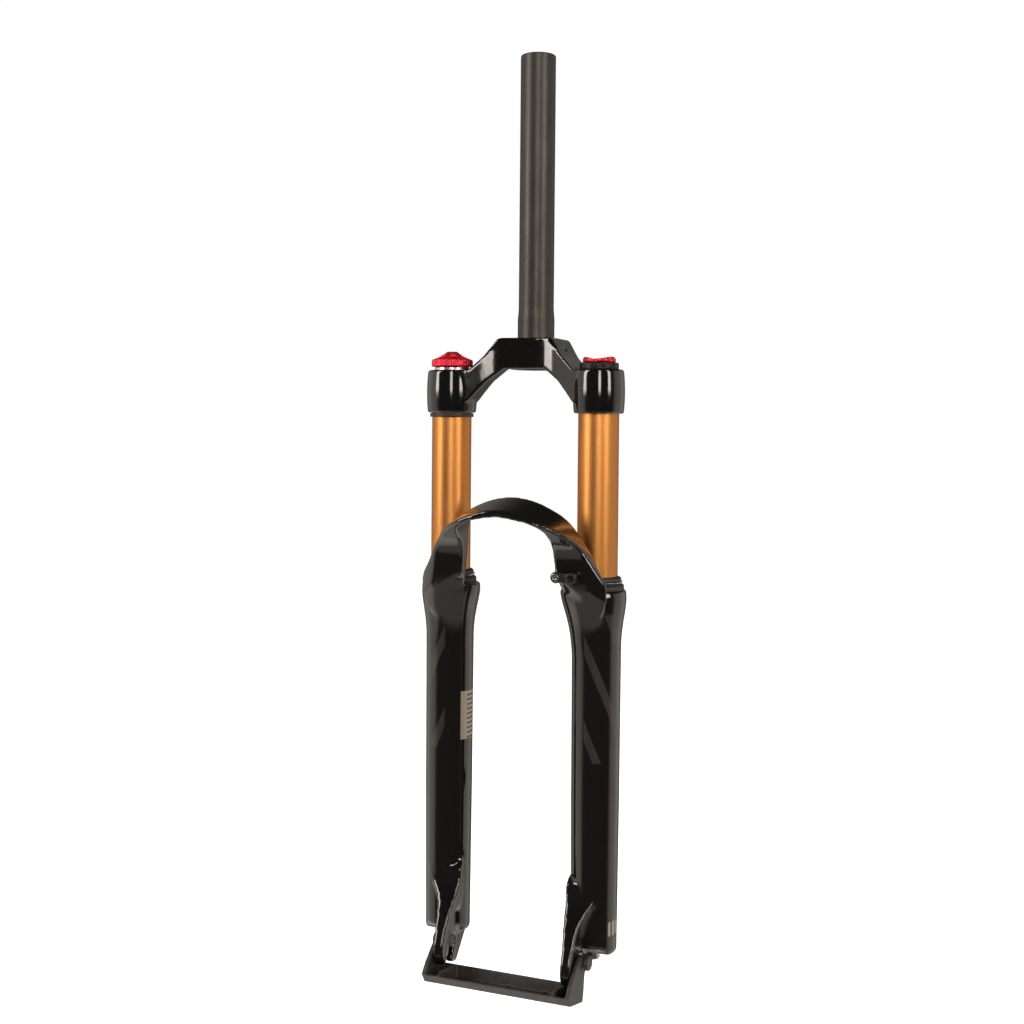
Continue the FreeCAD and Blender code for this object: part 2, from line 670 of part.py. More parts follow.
def dropout():
    """The +X dropout: a plate under the leg with a slot, and the arm down the leg's front."""
    plate = prism(wire(
        in_yz(HUB_X + HUB_BOSS_H),
        (LEG_Y + 16, FOOT_Z + 10),
        (LEG_Y - 16, FOOT_Z + 40),
        (AXLE_Y - 12, AXLE_Z + 28),
        (AXLE_Y - 21, AXLE_Z + 12),
        (AXLE_Y - 22, AXLE_Z - 6),
        slot_point(-15.5, DROPOUT_DROP),
        slot_point(15.5, DROPOUT_DROP),
        (LEG_Y + 17, FOOT_Z),
    ), V(DROPOUT_T - HUB_BOSS_H, 0, 0))
    boss = cross_rod(HUB_BOSS_R, V(HUB_X, AXLE_Y, AXLE_Z), V(PLATE_X, AXLE_Y, AXLE_Z))
    arm_side = prism(wire(
        in_yz(HUB_X - 20),
        (LEG_Y - 10, FOOT_Z + 60),
        (LEG_Y - 17, FOOT_Z + 54),
        [
            (LEG_Y - 20, FOOT_Z + 40), (AXLE_Y - 12, AXLE_Z + 30), (AXLE_Y - 20, AXLE_Z + 15),
            (AXLE_Y - 24.5, AXLE_Z + 4), (AXLE_Y - 25, AXLE_Z - 5), slot_point(-17.5, DROPOUT_DROP),
        ],
        slot_point(-HUB_FACE_R - 0.5, DROPOUT_DROP),
        slot_point(-HUB_FACE_R - 0.5, 0),
        (AXLE_Y, AXLE_Z + 25),
        (LEG_Y - 10, FOOT_Z + 20),
    ), V(60, 0, 0))
    inner_x = HUB_X - 1.5
    arm_front = prism(wire(
        in_xz(LEG_Y),
        (inner_x, AXLE_Z - 25),
        (inner_x, AXLE_Z + 14),
        [(inner_x - 0.8, AXLE_Z + 22), (inner_x - 3, AXLE_Z + 38), (LEG_X - 17.5, AXLE_Z + 64)],
        (LEG_X + 9, AXLE_Z + 64),
        [
            (LEG_X + 4, AXLE_Z + 44), (PLATE_X + 3.5, AXLE_Z + 33), (PLATE_X + 1, AXLE_Z + 20),
            (PLATE_X, AXLE_Z + 8),
        ],
        (PLATE_X, AXLE_Z - 25),
    ), V(0, -60, 0))
    return plate.fuse([arm_side.common(arm_front), boss])


def disc_posts():
    """Two rearward posts on the air leg, and the web between them."""
    low = AXLE_Z + POST_ABOVE_AXLE
    posts = []
    for z in (low, low + POST_SPACING):
        posts.append(cross_rod(POST_R, V(POST_X, LEG_Y + 2, z), V(POST_X, POST_FACE_Y, z)))
        posts.append(prism(wire(
            in_yz(POST_X - 3),
            (LEG_Y + 5, z - 16),
            (POST_FACE_Y - 6, z - 4),
            (POST_FACE_Y - 6, z + 4),
            (LEG_Y + 5, z + 16),
        ), V(9, 0, 0)))
    return posts


def lower_casting():
    x = LEG_X
    z = AXLE_Z + POST_ABOVE_AXLE
    right = dropout()
    boss_x = x - GUIDE_INSET
    boss_z = RIM_Z + GUIDE_DROP
    boss = cross_rod(GUIDE_BOSS_R, V(boss_x, ARCH_Y - 3, boss_z), V(boss_x, GUIDE_Y, boss_z))
    fairing = root_fairing()
    roots = [fairing, mirrored(fairing)]
    body = leg(-x).fuse([leg(x), arch(), right, mirrored(right), boss] + roots + disc_posts())
    cuts = leg_bores(-x) + leg_bores(x)
    slot_end = V(0, *slot_point(0, DROPOUT_DROP + 8))
    axle = V(0, AXLE_Y, AXLE_Z)
    half = AXLE_SLOT_W / 2
    slot = prism(wire(
        in_yz(-x - 20),
        slot_point(-half, 0),
        slot_point(-half, slot_end.distanceToPoint(axle)),
        slot_point(half, slot_end.distanceToPoint(axle)),
        slot_point(half, 0),
    ), V(2 * x + 40, 0, 0))
    cuts.append(slot)
    cuts.append(cross_rod(half, V(-x - 20, AXLE_Y, AXLE_Z), V(x + 20, AXLE_Y, AXLE_Z)))
    cuts.append(cross_rod(HUB_FACE_R, V(-HUB_X, AXLE_Y, AXLE_Z), V(HUB_X, AXLE_Y, AXLE_Z)))
    for side in (-1, 1):
        nut_face = V(side * PLATE_X, AXLE_Y, AXLE_Z)
        cuts.append(cross_rod(NUT_FACE_R, nut_face, V(side * (x + 30), AXLE_Y, AXLE_Z)))
    for post_z in (z, z + POST_SPACING):
        tap_end = V(POST_X, POST_FACE_Y - POST_TAP_DEPTH, post_z)
        cuts.append(cross_rod(POST_TAP_R, tap_end, V(POST_X, POST_FACE_Y + 5, post_z)))
    guide_tap_end = V(boss_x, ARCH_Y - GUIDE_TAP_BACK, boss_z)
    cuts.append(cross_rod(GUIDE_SCREW_R, guide_tap_end, V(boss_x, ARCH_Y - 20, boss_z)))
    return body.cut(cuts).removeSplitter()


def dust_wiper(x):
    """The wiper: a lip on the stanchion, a groove for its spring and a seat in the casting."""
    inner = STANCHION_R + RUNNING_GAP
    groove_z = WIPER_TOP - 4.5
    seat = RIM_Z - WIPER_SEAT_H
    return turned(
        x, LEG_Y,
        (inner, seat),
        (WIPER_SEAT_R, seat),
        (WIPER_SEAT_R, RIM_Z),
        (STANCHION_R + 5.1, RIM_Z),
        (STANCHION_R + 5.1, RIM_Z + 3.0),
        [(STANCHION_R + 4.6, RIM_Z + 4.0), (STANCHION_R + 3.4, RIM_Z + 4.4)],
        (STANCHION_R + 3.2, groove_z - 0.8),
        (STANCHION_R + 2.4, groove_z - 0.8),
        (STANCHION_R + 2.4, groove_z + 0.8),
        (STANCHION_R + 3.1, groove_z + 0.8),
        (STANCHION_R + 2.7, WIPER_TOP - 1.0),
        (inner + 0.3, WIPER_TOP),
        (inner, WIPER_TOP - 0.8),
    )


def garter_spring(x):
    return Part.makeTorus(STANCHION_R + 3.2, 0.8, V(x, LEG_Y, WIPER_TOP - 4.5))


def foam_ring(x):
    return ring(WIPER_SEAT_R, STANCHION_R + BODY_GAP, FOAM_BOTTOM, FOAM_BOTTOM + FOAM_H, x, LEG_Y)


def bushing(x, low):
    return ring(BUSHING_R, STANCHION_R + RUNNING_GAP, low, low + BUSHING_H, x, LEG_Y)


def rod_with_bolt_hole(x, top):
    """A damper or spring rod that stands on the leg's floor and takes the foot bolt."""
    bar = rod(ROD_R, FLOOR_Z, top, x, LEG_Y)
    return bar.cut(rod(FOOT_BOLT_R, FLOOR_Z - 1, FLOOR_Z + FOOT_BOLT_GRIP + 1, x, LEG_Y))


def rebound_piston():
    low = PISTON_Z
    piston = rod(CARTRIDGE_BORE_R - RUNNING_GAP, low, low + PISTON_H, -LEG_X, LEG_Y)
    port = rod(1.2, low - 1, low + PISTON_H + 1, -LEG_X + 8, LEG_Y)
    seat = rod(ROD_R, low - 1, low + PISTON_H - 3, -LEG_X, LEG_Y)
    return piston.cut(round_about(port, 6, -LEG_X, LEG_Y) + [seat])


def air_piston():
    piston = rod(STANCHION_BORE_R - BODY_GAP, PISTON_Z, PISTON_Z + PISTON_H, LEG_X, LEG_Y)
    mid = PISTON_Z + PISTON_H / 2
    groove = ring(STANCHION_BORE_R + 1, STANCHION_BORE_R - 2.5, mid - 1.5, mid + 1.5, LEG_X, LEG_Y)
    return piston.cut([groove, rod(ROD_R, PISTON_Z - 1, PISTON_Z + PISTON_H - 3, LEG_X, LEG_Y)])


def air_piston_seal():
    mid = PISTON_Z + PISTON_H / 2
    return ring(STANCHION_BORE_R - RUNNING_GAP, STANCHION_BORE_R - 2.5, mid - 1.5, mid + 1.5, LEG_X, LEG_Y)


def bottom_out_bumper():
    return ring(BUMPER_R, ROD_R, FLOOR_Z, FLOOR_Z + BUMPER_H, LEG_X, LEG_Y)


def foot_bolts():
    bolts = []
    under = FOOT_Z - WASHER_T
    for x in (-LEG_X, LEG_X):
        head = turned(
            x, LEG_Y,
            (0, under - FOOT_BOLT_HEAD_H),
            (FOOT_BOLT_HEAD_R - 0.6, under - FOOT_BOLT_HEAD_H),
            (FOOT_BOLT_HEAD_R, under - FOOT_BOLT_HEAD_H + 0.6),
            (FOOT_BOLT_HEAD_R, under),
            (0, under),
        )
        shank = rod(FOOT_BOLT_R, under, FLOOR_Z + FOOT_BOLT_GRIP, x, LEG_Y)
        hexagon = Part.makePolygon([
            V(x + 2.9 * math.cos(math.radians(a)), LEG_Y + 2.9 * math.sin(math.radians(a)), under - 7)
            for a in range(0, 361, 60)
        ])
        bolts.append(head.fuse(shank).cut(prism(hexagon, V(0, 0, 5))).removeSplitter())
    return Part.makeCompound(bolts)


def crush_washers():
    washers = []
    for x in (-LEG_X, LEG_X):
        washers.append(ring(FOOT_BOLT_HEAD_R, FOOT_BOLT_R, FOOT_Z - WASHER_T, FOOT_Z, x, LEG_Y))
    return Part.makeCompound(washers)


def hose_guide():
    """A moulded clip held by one screw, open towards the arch for the hose."""
    x = LEG_X - GUIDE_INSET
    z = RIM_Z + GUIDE_DROP
    back = GUIDE_Y
    pad = cross_rod(4.4, V(x, back, z), V(x, back - GUIDE_PAD_T, z))
    bar = box((x, back - GUIDE_T, z - GUIDE_H / 2), (x + GUIDE_LEN - 4, back, z + GUIDE_H / 2))
    loop = cross_rod(GUIDE_H / 2 + 0.8, V(x + 13, back, z), V(x + 13, back - GUIDE_T - 1.5, z))
    eye = cross_rod(2.6, V(x + 13, back - 1, z), V(x + 13, back - 10, z))
    hole = cross_rod(GUIDE_SCREW_R, V(x, back + 1, z), V(x, back - 10, z))
    seat = cross_rod(GUIDE_HEAD_R + 0.2, V(x, back - GUIDE_PAD_T, z), V(x, back - 10, z))
    return pad.fuse([bar, loop]).cut([eye, hole, seat]).removeSplitter()


def hose_guide_screw():
    x = LEG_X - GUIDE_INSET
    z = RIM_Z + GUIDE_DROP
    back = GUIDE_Y
    head = cross_rod(GUIDE_HEAD_R, V(x, back - GUIDE_PAD_T, z), V(x, back - 5.0, z))
    shank = cross_rod(GUIDE_SCREW_R, V(x, back + 7, z), V(x, back - GUIDE_PAD_T, z))
    socket_cut = cross_rod(1.3, V(x, back - 3.4, z), V(x, back - 6, z))
    return head.fuse(shank).cut(socket_cut).removeSplitter()


# Dial, valve cap and spacer
def lockout_dial():
    x = -LEG_X
    rim_top = DIAL_Z + DIAL_RIM_H
    top = DIAL_Z + DIAL_H
    shell = turned(
        x, LEG_Y,
        (0, top),
        (DIAL_HUB_R - 0.5, top),
        (DIAL_HUB_R, top - 0.5),
        [(DIAL_R * 0.6, rim_top + 2.3), (DIAL_R - 1.6, rim_top)],
        [(DIAL_R - 0.5, rim_top - 0.5), (DIAL_R, rim_top - 1.4)],
        (DIAL_R, DIAL_Z + 0.6),
        (DIAL_R - 0.6, DIAL_Z),
        (DIAL_R - 2.6, DIAL_Z),
        (DIAL_R - 2.6, rim_top - DIAL_SKIN),
        (DIAL_HUB_R + 1, top - DIAL_SKIN - 3),
        (DIAL_HUB_R, DIAL_Z),
        (0, DIAL_Z),
    )
    window = prism(wire(
        in_xy(DIAL_Z + 2),
        (x + 7.0, LEG_Y - 1.6),
        (x + 13.2, LEG_Y - 3.6),
        [(x + 13.7, LEG_Y), (x + 13.2, LEG_Y + 3.6)],
        (x + 7.0, LEG_Y + 1.6),
    ), V(0, 0, 30))
    flute = rod(0.7, DIAL_Z - 1, rim_top + 1, x + DIAL_R + 0.35, LEG_Y)
    cuts = round_about(window, DIAL_WINDOWS, x, LEG_Y) + round_about(flute, DIAL_FLUTES, x, LEG_Y)
    cuts.append(rod(SHAFT_R, DIAL_Z - 1, top - 1.5, x, LEG_Y))
    cuts.append(cross_rod(GRUB_R, V(x, LEG_Y, DIAL_Z + 2.6), V(x, LEG_Y + 20, DIAL_Z + 2.6)))
    return shell.cut(cuts).removeSplitter()


def dial_grub_screw():
    z = DIAL_Z + 2.6
    return cross_rod(GRUB_R, V(-LEG_X, LEG_Y + SHAFT_R, z), V(-LEG_X, LEG_Y + DIAL_HUB_R, z))


def lockout_shaft():
    return rod(SHAFT_R, DIAL_Z + DIAL_H - 1.5 - SHAFT_LEN, DIAL_Z + DIAL_H - 1.5, -LEG_X, LEG_Y)


def air_valve_cap():
    x = LEG_X
    top = VALVE_CAP_Z + VALVE_CAP_H
    disc = turned(
        x, LEG_Y,
        (0, VALVE_CAP_Z),
        (VALVE_CAP_R - 0.6, VALVE_CAP_Z),
        (VALVE_CAP_R, VALVE_CAP_Z + 0.6),
        [(VALVE_CAP_R - 0.2, top - 1.6), (VALVE_CAP_R - 1.6, top)],
        (0, top),
    )
    sag_r = VALVE_CAP_R * VALVE_CAP_R / (3 * VALVE_CAP_DISH)
    dish_z = top - VALVE_CAP_DISH + sag_r
    dish = cross_rod(sag_r, V(x, LEG_Y - 20, dish_z), V(x, LEG_Y + 20, dish_z))
    scallop = rod(3.2, VALVE_CAP_Z - 1, top + 1, x, LEG_Y + VALVE_CAP_R + 1.6)
    boss = rod(VALVE_CAP_BOSS_R, AIR_CAP_TOP - VALVE_RECESS + 1.5, VALVE_CAP_Z + 1, x, LEG_Y)
    bore = rod(VALVE_R + RUNNING_GAP, AIR_CAP_TOP - VALVE_RECESS, AIR_CAP_TOP, x, LEG_Y)
    cuts = [dish, bore] + round_about(scallop, 6, x, LEG_Y)
    return disc.fuse(boss).cut(cuts).removeSplitter()


def dropout_spacer():
    """The tray that fills the hub's place, with a wall and an axle plug outside each dropout."""
    wall = SPACER_WALL
    floor_top = SPACER_DROP - wall
    inner_x = HUB_X - 4
    wall_x = PLATE_X + SPACER_SIDE_GAP
    lip_a = slot_point(-24.8, SPACER_DROP)
    lip_b = slot_point(-32.2, SPACER_DROP - 6)
    lip_c = slot_point(-30.4, SPACER_DROP - 6.6)
    lip_d = slot_point(-24.0, floor_top)
    back_top = DROPOUT_DROP + 0.8
    channel = prism(wire(
        in_yz(-SPACER_X),
        slot_point(5.9, SPACER_DROP),
        lip_a,
        lip_b,
        lip_c,
        lip_d,
        slot_point(5.9 - wall, floor_top),
        slot_point(5.9 - wall, back_top),
        slot_point(5.9, back_top),
    ), V(SPACER_LEN, 0, 0))
    wall_outline = [
        slot_point(5.9, SPACER_DROP), lip_a, lip_b, slot_point(-28.5, 16),
        slot_point(-18, 2.5), slot_point(-9, -4.5), slot_point(4.8, -4.0), slot_point(4.8, 6),
    ]
    end = prism(wire(in_yz(wall_x), *wall_outline), V(SPACER_X - wall_x, 0, 0))
    inner = prism(wire(
        in_yz(inner_x),
        slot_point(5.9, SPACER_DROP),
        lip_a,
        lip_b,
        slot_point(-27, 20),
        slot_point(5.9, back_top),
    ), V(wall, 0, 0))
    plug_end = V(SPACER_X + SPACER_REACH, AXLE_Y, AXLE_Z)
    plug = cross_rod(SPACER_PLUG_R, V(HUB_X + 0.5, AXLE_Y, AXLE_Z), plug_end)
    rings = []
    for n in range(2):
        ring_x = SPACER_X + 1.2 + 2.4 * n
        ring_end = V(ring_x + 1.2, AXLE_Y, AXLE_Z)
        rings.append(cross_rod(SPACER_PLUG_R + 1.4, V(ring_x, AXLE_Y, AXLE_Z), ring_end))
    ribs = []
    for rib_x in (-30.0, 0.0, 30.0):
        ribs.append(prism(wire(
            in_yz(rib_x - 0.8),
            slot_point(4, floor_top + 0.5),
            slot_point(-25, floor_top + 0.5),
            slot_point(-25.5, floor_top - 1.2),
            slot_point(4, floor_top - 1.2),
        ), V(1.6, 0, 0)))
    side = [end, inner, plug] + rings
    return channel.fuse(side + [mirrored(s) for s in side] + ribs).removeSplitter()


def save(name, shape):
    solids = shape.Solids
    shape = solids[0] if len(solids) == 1 else Part.makeCompound(solids)
    shape.exportStep("parts/" + name + ".step")
    box_now = shape.optimalBoundingBox(False)
    print("%-24s solids %d valid %s vol %.0f  x %.1f %.1f  y %.1f %.1f  z %.1f %.1f" % (
        name, len(solids), shape.isValid(), shape.Volume,
        box_now.XMin, box_now.XMax, box_now.YMin, box_now.YMax, box_now.ZMin, box_now.ZMax))


save("steerer_tube", steerer_tube())
save("crown", crown())
save("damper_stanchion", stanchion(-LEG_X))
save("air_stanchion", stanchion(LEG_X))
save("damper_top_cap", damper_top_cap())
save("air_top_cap", air_top_cap())
save("top_cap_o_rings", top_cap_o_rings())
save("air_valve_stem", air_valve_stem())
save("valve_core", valve_core())
save("valve_core_pin", valve_core_pin())
save("damper_cartridge_tube", damper_cartridge_tube())
save("compression_base_valve", compression_base_valve())
save("cartridge_head", cartridge_head())
save("air_seal_head", air_seal_head())
save("seal_head_circlip", seal_head_circlip())
save("top_out_bumper", top_out_bumper())
save("sag_o_ring", sag_o_ring())
save("lower_casting", lower_casting())
for side_name, side_x in (("damper", -LEG_X), ("air", LEG_X)):
    save(side_name + "_dust_wiper", dust_wiper(side_x))
    save(side_name + "_garter_spring", garter_spring(side_x))
    save(side_name + "_foam_ring", foam_ring(side_x))
    save(side_name + "_upper_bushing", bushing(side_x, UPPER_BUSHING_Z))
    save(side_name + "_lower_bushing", bushing(side_x, LOWER_BUSHING_Z))
save("damper_rod", rod_with_bolt_hole(-LEG_X, PISTON_Z + PISTON_H - 3))
save("rebound_piston", rebound_piston())
save("air_rod", rod_with_bolt_hole(LEG_X, PISTON_Z + PISTON_H - 3))
save("air_piston", air_piston())
save("air_piston_seal", air_piston_seal())
save("bottom_out_bumper", bottom_out_bumper())
save("foot_bolts", foot_bolts())
save("crush_washers", crush_washers())
save("hose_guide", hose_guide())
save("hose_guide_screw", hose_guide_screw())
save("lockout_dial", lockout_dial())
save("dial_grub_screw", dial_grub_screw())
save("lockout_shaft", lockout_shaft())
save("air_valve_cap", air_valve_cap())
save("dropout_spacer", dropout_spacer())
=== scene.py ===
import json
import math

import bmesh
import bpy
from bpy.props import FloatProperty, FloatVectorProperty, IntProperty, PointerProperty
from mathutils import Matrix, Vector


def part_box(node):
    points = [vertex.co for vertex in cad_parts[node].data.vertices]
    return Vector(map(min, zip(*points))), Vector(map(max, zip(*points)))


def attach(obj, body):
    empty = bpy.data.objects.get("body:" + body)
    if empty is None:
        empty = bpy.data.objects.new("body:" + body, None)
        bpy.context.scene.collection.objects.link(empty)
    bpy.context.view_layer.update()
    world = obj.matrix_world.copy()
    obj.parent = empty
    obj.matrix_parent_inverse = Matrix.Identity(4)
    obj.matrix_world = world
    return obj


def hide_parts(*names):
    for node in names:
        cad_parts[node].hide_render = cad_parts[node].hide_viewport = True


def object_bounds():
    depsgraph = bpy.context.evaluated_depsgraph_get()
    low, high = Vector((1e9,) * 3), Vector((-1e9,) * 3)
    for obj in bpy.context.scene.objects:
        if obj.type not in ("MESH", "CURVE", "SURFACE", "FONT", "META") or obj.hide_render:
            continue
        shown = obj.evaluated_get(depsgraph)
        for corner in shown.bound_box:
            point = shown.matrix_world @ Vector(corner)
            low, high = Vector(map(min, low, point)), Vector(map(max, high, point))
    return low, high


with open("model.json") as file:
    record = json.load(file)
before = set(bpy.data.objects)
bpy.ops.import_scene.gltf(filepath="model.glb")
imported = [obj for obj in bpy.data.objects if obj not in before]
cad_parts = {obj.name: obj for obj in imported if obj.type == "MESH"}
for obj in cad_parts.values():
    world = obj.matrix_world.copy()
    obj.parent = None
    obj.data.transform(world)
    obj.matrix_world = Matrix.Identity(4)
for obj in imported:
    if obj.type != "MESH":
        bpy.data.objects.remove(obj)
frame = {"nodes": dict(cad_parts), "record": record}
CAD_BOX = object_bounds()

bl_info = {
    "name": "Air suspension fork",
    "version": (1, 0, 0),
    "blender": (4, 5, 0),
    "location": "3D View > Sidebar > Fork",
    "description": "Makes the finished castings, dials, seals and finishes of a bicycle suspension fork",
    "category": "Object",
}

MM = 0.001
# Points closer than this (metres) are one, in a made mesh and in a copy of a CAD node's.
MERGE = 1e-7
CAD_MERGE = 2e-6
# A hole is plugged before its part gets a new skin, and cut afresh after. In metres: how far the plug laps
# the hole's wall, how far it laps a small one's, and how far it stops short of the open end.
LAP = 0.2 * MM
FINE_LAP = 0.1 * MM
SHORT = 0.1 * MM
# How far in mm a cutter starts before a hole and runs out past it.
RUN_IN = 2
RUN_OUT = 3
SIDES = ("damper", "air")
MATH = "ShaderNodeMath"
RANGE = "ShaderNodeMapRange"
MIX = "ShaderNodeMix"


# Colour, nodes and small mesh helpers
def linear(code):
    """An sRGB hex colour as linear red, green, blue and alpha."""
    parts = [int(code[i:i + 2], 16) / 255 for i in (1, 3, 5)]
    flat = [c / 12.92 if c <= 0.04045 else ((c + 0.055) / 1.055) ** 2.4 for c in parts]
    return (*flat, 1.0)


def add(tree, kind, inputs=(), **settings):
    """A new node with its settings. Its inputs, by name or in order, are set to values or linked to other
    nodes' sockets, or to their first output where a node is given."""
    node = tree.nodes.new(kind)
    for name, value in settings.items():
        setattr(node, name, value)
    for key, value in inputs.items() if isinstance(inputs, dict) else enumerate(inputs):
        if isinstance(value, bpy.types.Node):
            value = value.outputs[0]
        if isinstance(value, bpy.types.NodeSocket):
            tree.links.new(value, node.inputs[key])
        else:
            node.inputs[key].default_value = value
    return node


def centre_of(node):
    """The middle of a CAD node's box."""
    low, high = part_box(node)
    return (low + high) / 2


def object_from(name, mesh):
    """The mesh as an object in the scene."""
    piece = bpy.data.objects.new(name, mesh)
    bpy.context.scene.collection.objects.link(piece)
    return piece


def mesh_object(name, bm):
    """A mesh object from a bmesh, with its coincident points merged and its faces outward."""
    bmesh.ops.remove_doubles(bm, verts=bm.verts, dist=MERGE)
    bmesh.ops.recalc_face_normals(bm, faces=bm.faces)
    mesh = bpy.data.meshes.new(name)
    bm.to_mesh(mesh)
    bm.free()
    return object_from(name, mesh)


def soft(piece):
    """Smooth shading all over."""
    for face in piece.data.polygons:
        face.use_smooth = True


def crisp(piece, degrees):
    """Smooth shading, broken where faces meet at more than an angle."""
    soft(piece)
    piece.data.set_sharp_from_angle(angle=math.radians(degrees))


def frozen(piece):
    """Turns the piece's modifiers into plain mesh."""
    graph = bpy.context.evaluated_depsgraph_get()
    mesh = bpy.data.meshes.new_from_object(piece.evaluated_get(graph))
    piece.modifiers.clear()
    old = piece.data
    piece.data = mesh
    bpy.data.meshes.remove(old)
    mesh.name = piece.name


def eased(corners, ease=0.4, steps=3):
    """A closed outline in mm with each corner rounded by about the ease, or by its own third value."""
    points = []
    count = len(corners)
    for n, corner in enumerate(corners):
        here = Vector(corner[:2])
        before = Vector(corners[n - 1][:2]) - here
        after = Vector(corners[(n + 1) % count][:2]) - here
        size = corner[2] if len(corner) > 2 else ease
        size = min(size, before.length * 0.45, after.length * 0.45)
        if size < 0.01:
            points.append(here)
            continue
        start = here + before.normalized() * size
        end = here + after.normalized() * size
        for k in range(steps + 1):
            t = k / steps
            points.append(start * (1 - t) ** 2 + here * 2 * t * (1 - t) + end * t * t)
    return points


def turned(name, x, y, outline, segments=128):
    """A closed ring or solid turned about the vertical line at x, y (metres) from (radius, height) in mm."""
    bm = bmesh.new()
    rows = []
    for k in range(segments):
        angle = math.tau * k / segments
        row = []
        for radius, height in outline:
            r = max(radius, 0.0) * MM
            row.append(bm.verts.new((x + r * math.cos(angle), y + r * math.sin(angle), height * MM)))
        rows.append(row)
    count = len(outline)
    for k in range(segments):
        for n in range(count):
            a, b = rows[k][n], rows[k][(n + 1) % count]
            c, d = rows[(k + 1) % segments][(n + 1) % count], rows[(k + 1) % segments][n]
            bm.faces.new((a, b, c, d))
    return mesh_object(name, bm)


def bar(bm, radius, start, end, segments=64):
    """Adds a closed round bar between two points (metres) to a bmesh."""
    along = Vector(end) - Vector(start)
    turn = along.to_track_quat("Z", "Y").to_matrix().to_4x4()
    place = Matrix.Translation((Vector(start) + Vector(end)) / 2) @ turn
    bmesh.ops.create_cone(bm, cap_ends=True, segments=segments, radius1=radius, radius2=radius,
                          depth=along.length, matrix=place)


def node_copy(node):
    """A merged copy of a CAD node's mesh, as a bmesh."""
    bm = bmesh.new()
    bm.from_mesh(frame["nodes"][node].data)
    bmesh.ops.remove_doubles(bm, verts=bm.verts, dist=CAD_MERGE)
    return bm


def worn_in(piece, voxel, passes):
    """The piece remade as an even skin whose edges are rounded as a casting's or a tumbled part's are."""
    skin = piece.modifiers.new("skin", "REMESH")
    skin.mode = "VOXEL"
    skin.voxel_size = voxel * MM
    calm = piece.modifiers.new("calm", "SMOOTH")
    calm.factor = 0.5
    calm.iterations = passes
    frozen(piece)
    soft(piece)
    return piece


def cut_by(piece, cutter):
    """Cuts a closed cutter out of the piece, and removes the cutter."""
    cut = piece.modifiers.new("cut", "BOOLEAN")
    cut.operation = "DIFFERENCE"
    cut.solver = "MANIFOLD"
    cut.object = cutter
    frozen(piece)
    bpy.data.objects.remove(cutter)


def given(piece, body, slot, *nodes):
    """The piece takes its finish, its body and the CAD nodes that it stands for."""
    piece.data.materials.clear()
    piece.data.materials.append(FINISH[slot])
    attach(piece, body)
    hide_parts(*nodes)


# Finishes
FINISH = {}


def finish(name, colour, **sockets):
    """A material of one shader, with an sRGB hex or linear colour and its sockets' all-over values."""
    material = bpy.data.materials.new(name)
    material.use_nodes = True
    tree = material.node_tree
    shader = tree.nodes["Principled BSDF"]
    shader.inputs["Base Color"].default_value = colour if isinstance(colour, tuple) else linear(colour)
    for key, value in sockets.items():
        shader.inputs[key.replace("_", " ")].default_value = value
    return material, tree, shader


def grain(tree, size, stretch=(1.0, 1.0, 1.0), detail=3.0):
    """Noise whose grains are about a size in mm, stretched along the axes."""
    place = add(tree, "ShaderNodeTexCoord").outputs["Object"]
    scale = [s / (size * MM) for s in stretch]
    spot = add(tree, "ShaderNodeMapping", {"Vector": place, "Scale": scale})
    inputs = {"Vector": spot.outputs[0], "Scale": 1.0, "Detail": detail}
    return add(tree, "ShaderNodeTexNoise", inputs).outputs[0]


def roughened(tree, shader, noise, low, high):
    """Roughness that a noise carries from low to high."""
    spread = add(tree, RANGE, [noise, 0.3, 0.7, low, high])
    tree.links.new(spread.outputs[0], shader.inputs["Roughness"])


def raised(tree, shader, height, depth, strength=1.0):
    """Bump from a height of 0 to 1 that stands for a depth in mm."""
    inputs = {"Height": height, "Distance": depth * MM, "Strength": strength}
    bump = add(tree, "ShaderNodeBump", inputs)
    tree.links.new(bump.outputs[0], shader.inputs["Normal"])


def shaded(tree, shader, noise, dark, light, low=0.3, high=0.7):
    """Base colour that a noise carries from dark to light."""
    share = add(tree, RANGE, [noise, low, high], interpolation_type="SMOOTHSTEP")
    blend = add(tree, MIX, {0: share, 6: linear(dark), 7: linear(light)}, data_type="RGBA")
    tree.links.new(blend.outputs[2], shader.inputs["Base Color"])


def drawn_tube():
    # Satin black anodised aluminium: drawn along its length, so it is dark grey with broad soft streaks.
    material, tree, shader = finish("satin_black_anodised_tube", "#3A3836", Metallic=0.85, Roughness=0.36)
    streaks = grain(tree, 1.2, (1.0, 1.0, 0.03))
    shaded(tree, shader, grain(tree, 6.0, (1.0, 1.0, 0.25)), "#403E3B", "#464340")
    roughened(tree, shader, streaks, 0.38, 0.44)
    raised(tree, shader, grain(tree, 1.6), 0.003, 0.2)
    return material


def gloss_paint(name, under):
    """Gloss black paint, with the faint orange peel of a sprayed coat."""
    material, tree, shader = finish(
        name, "#0A0909", Roughness=0.12, IOR=1.45, Coat_Weight=0.8, Coat_Roughness=0.02)
    roughened(tree, shader, grain(tree, under), 0.09, 0.14)
    raised(tree, shader, grain(tree, 6.0, detail=0.0), 0.001, 0.1)
    return material, tree, shader


def band(tree, value, low, high, edge):
    """1 between two values with a soft edge, 0 outside."""
    rise = add(tree, RANGE, [value, low - edge, low + edge], interpolation_type="SMOOTHSTEP")
    fall = add(tree, RANGE, [value, high - edge, high + edge, 1.0, 0.0], interpolation_type="SMOOTHSTEP")
    return add(tree, MATH, [rise, fall], operation="MULTIPLY")


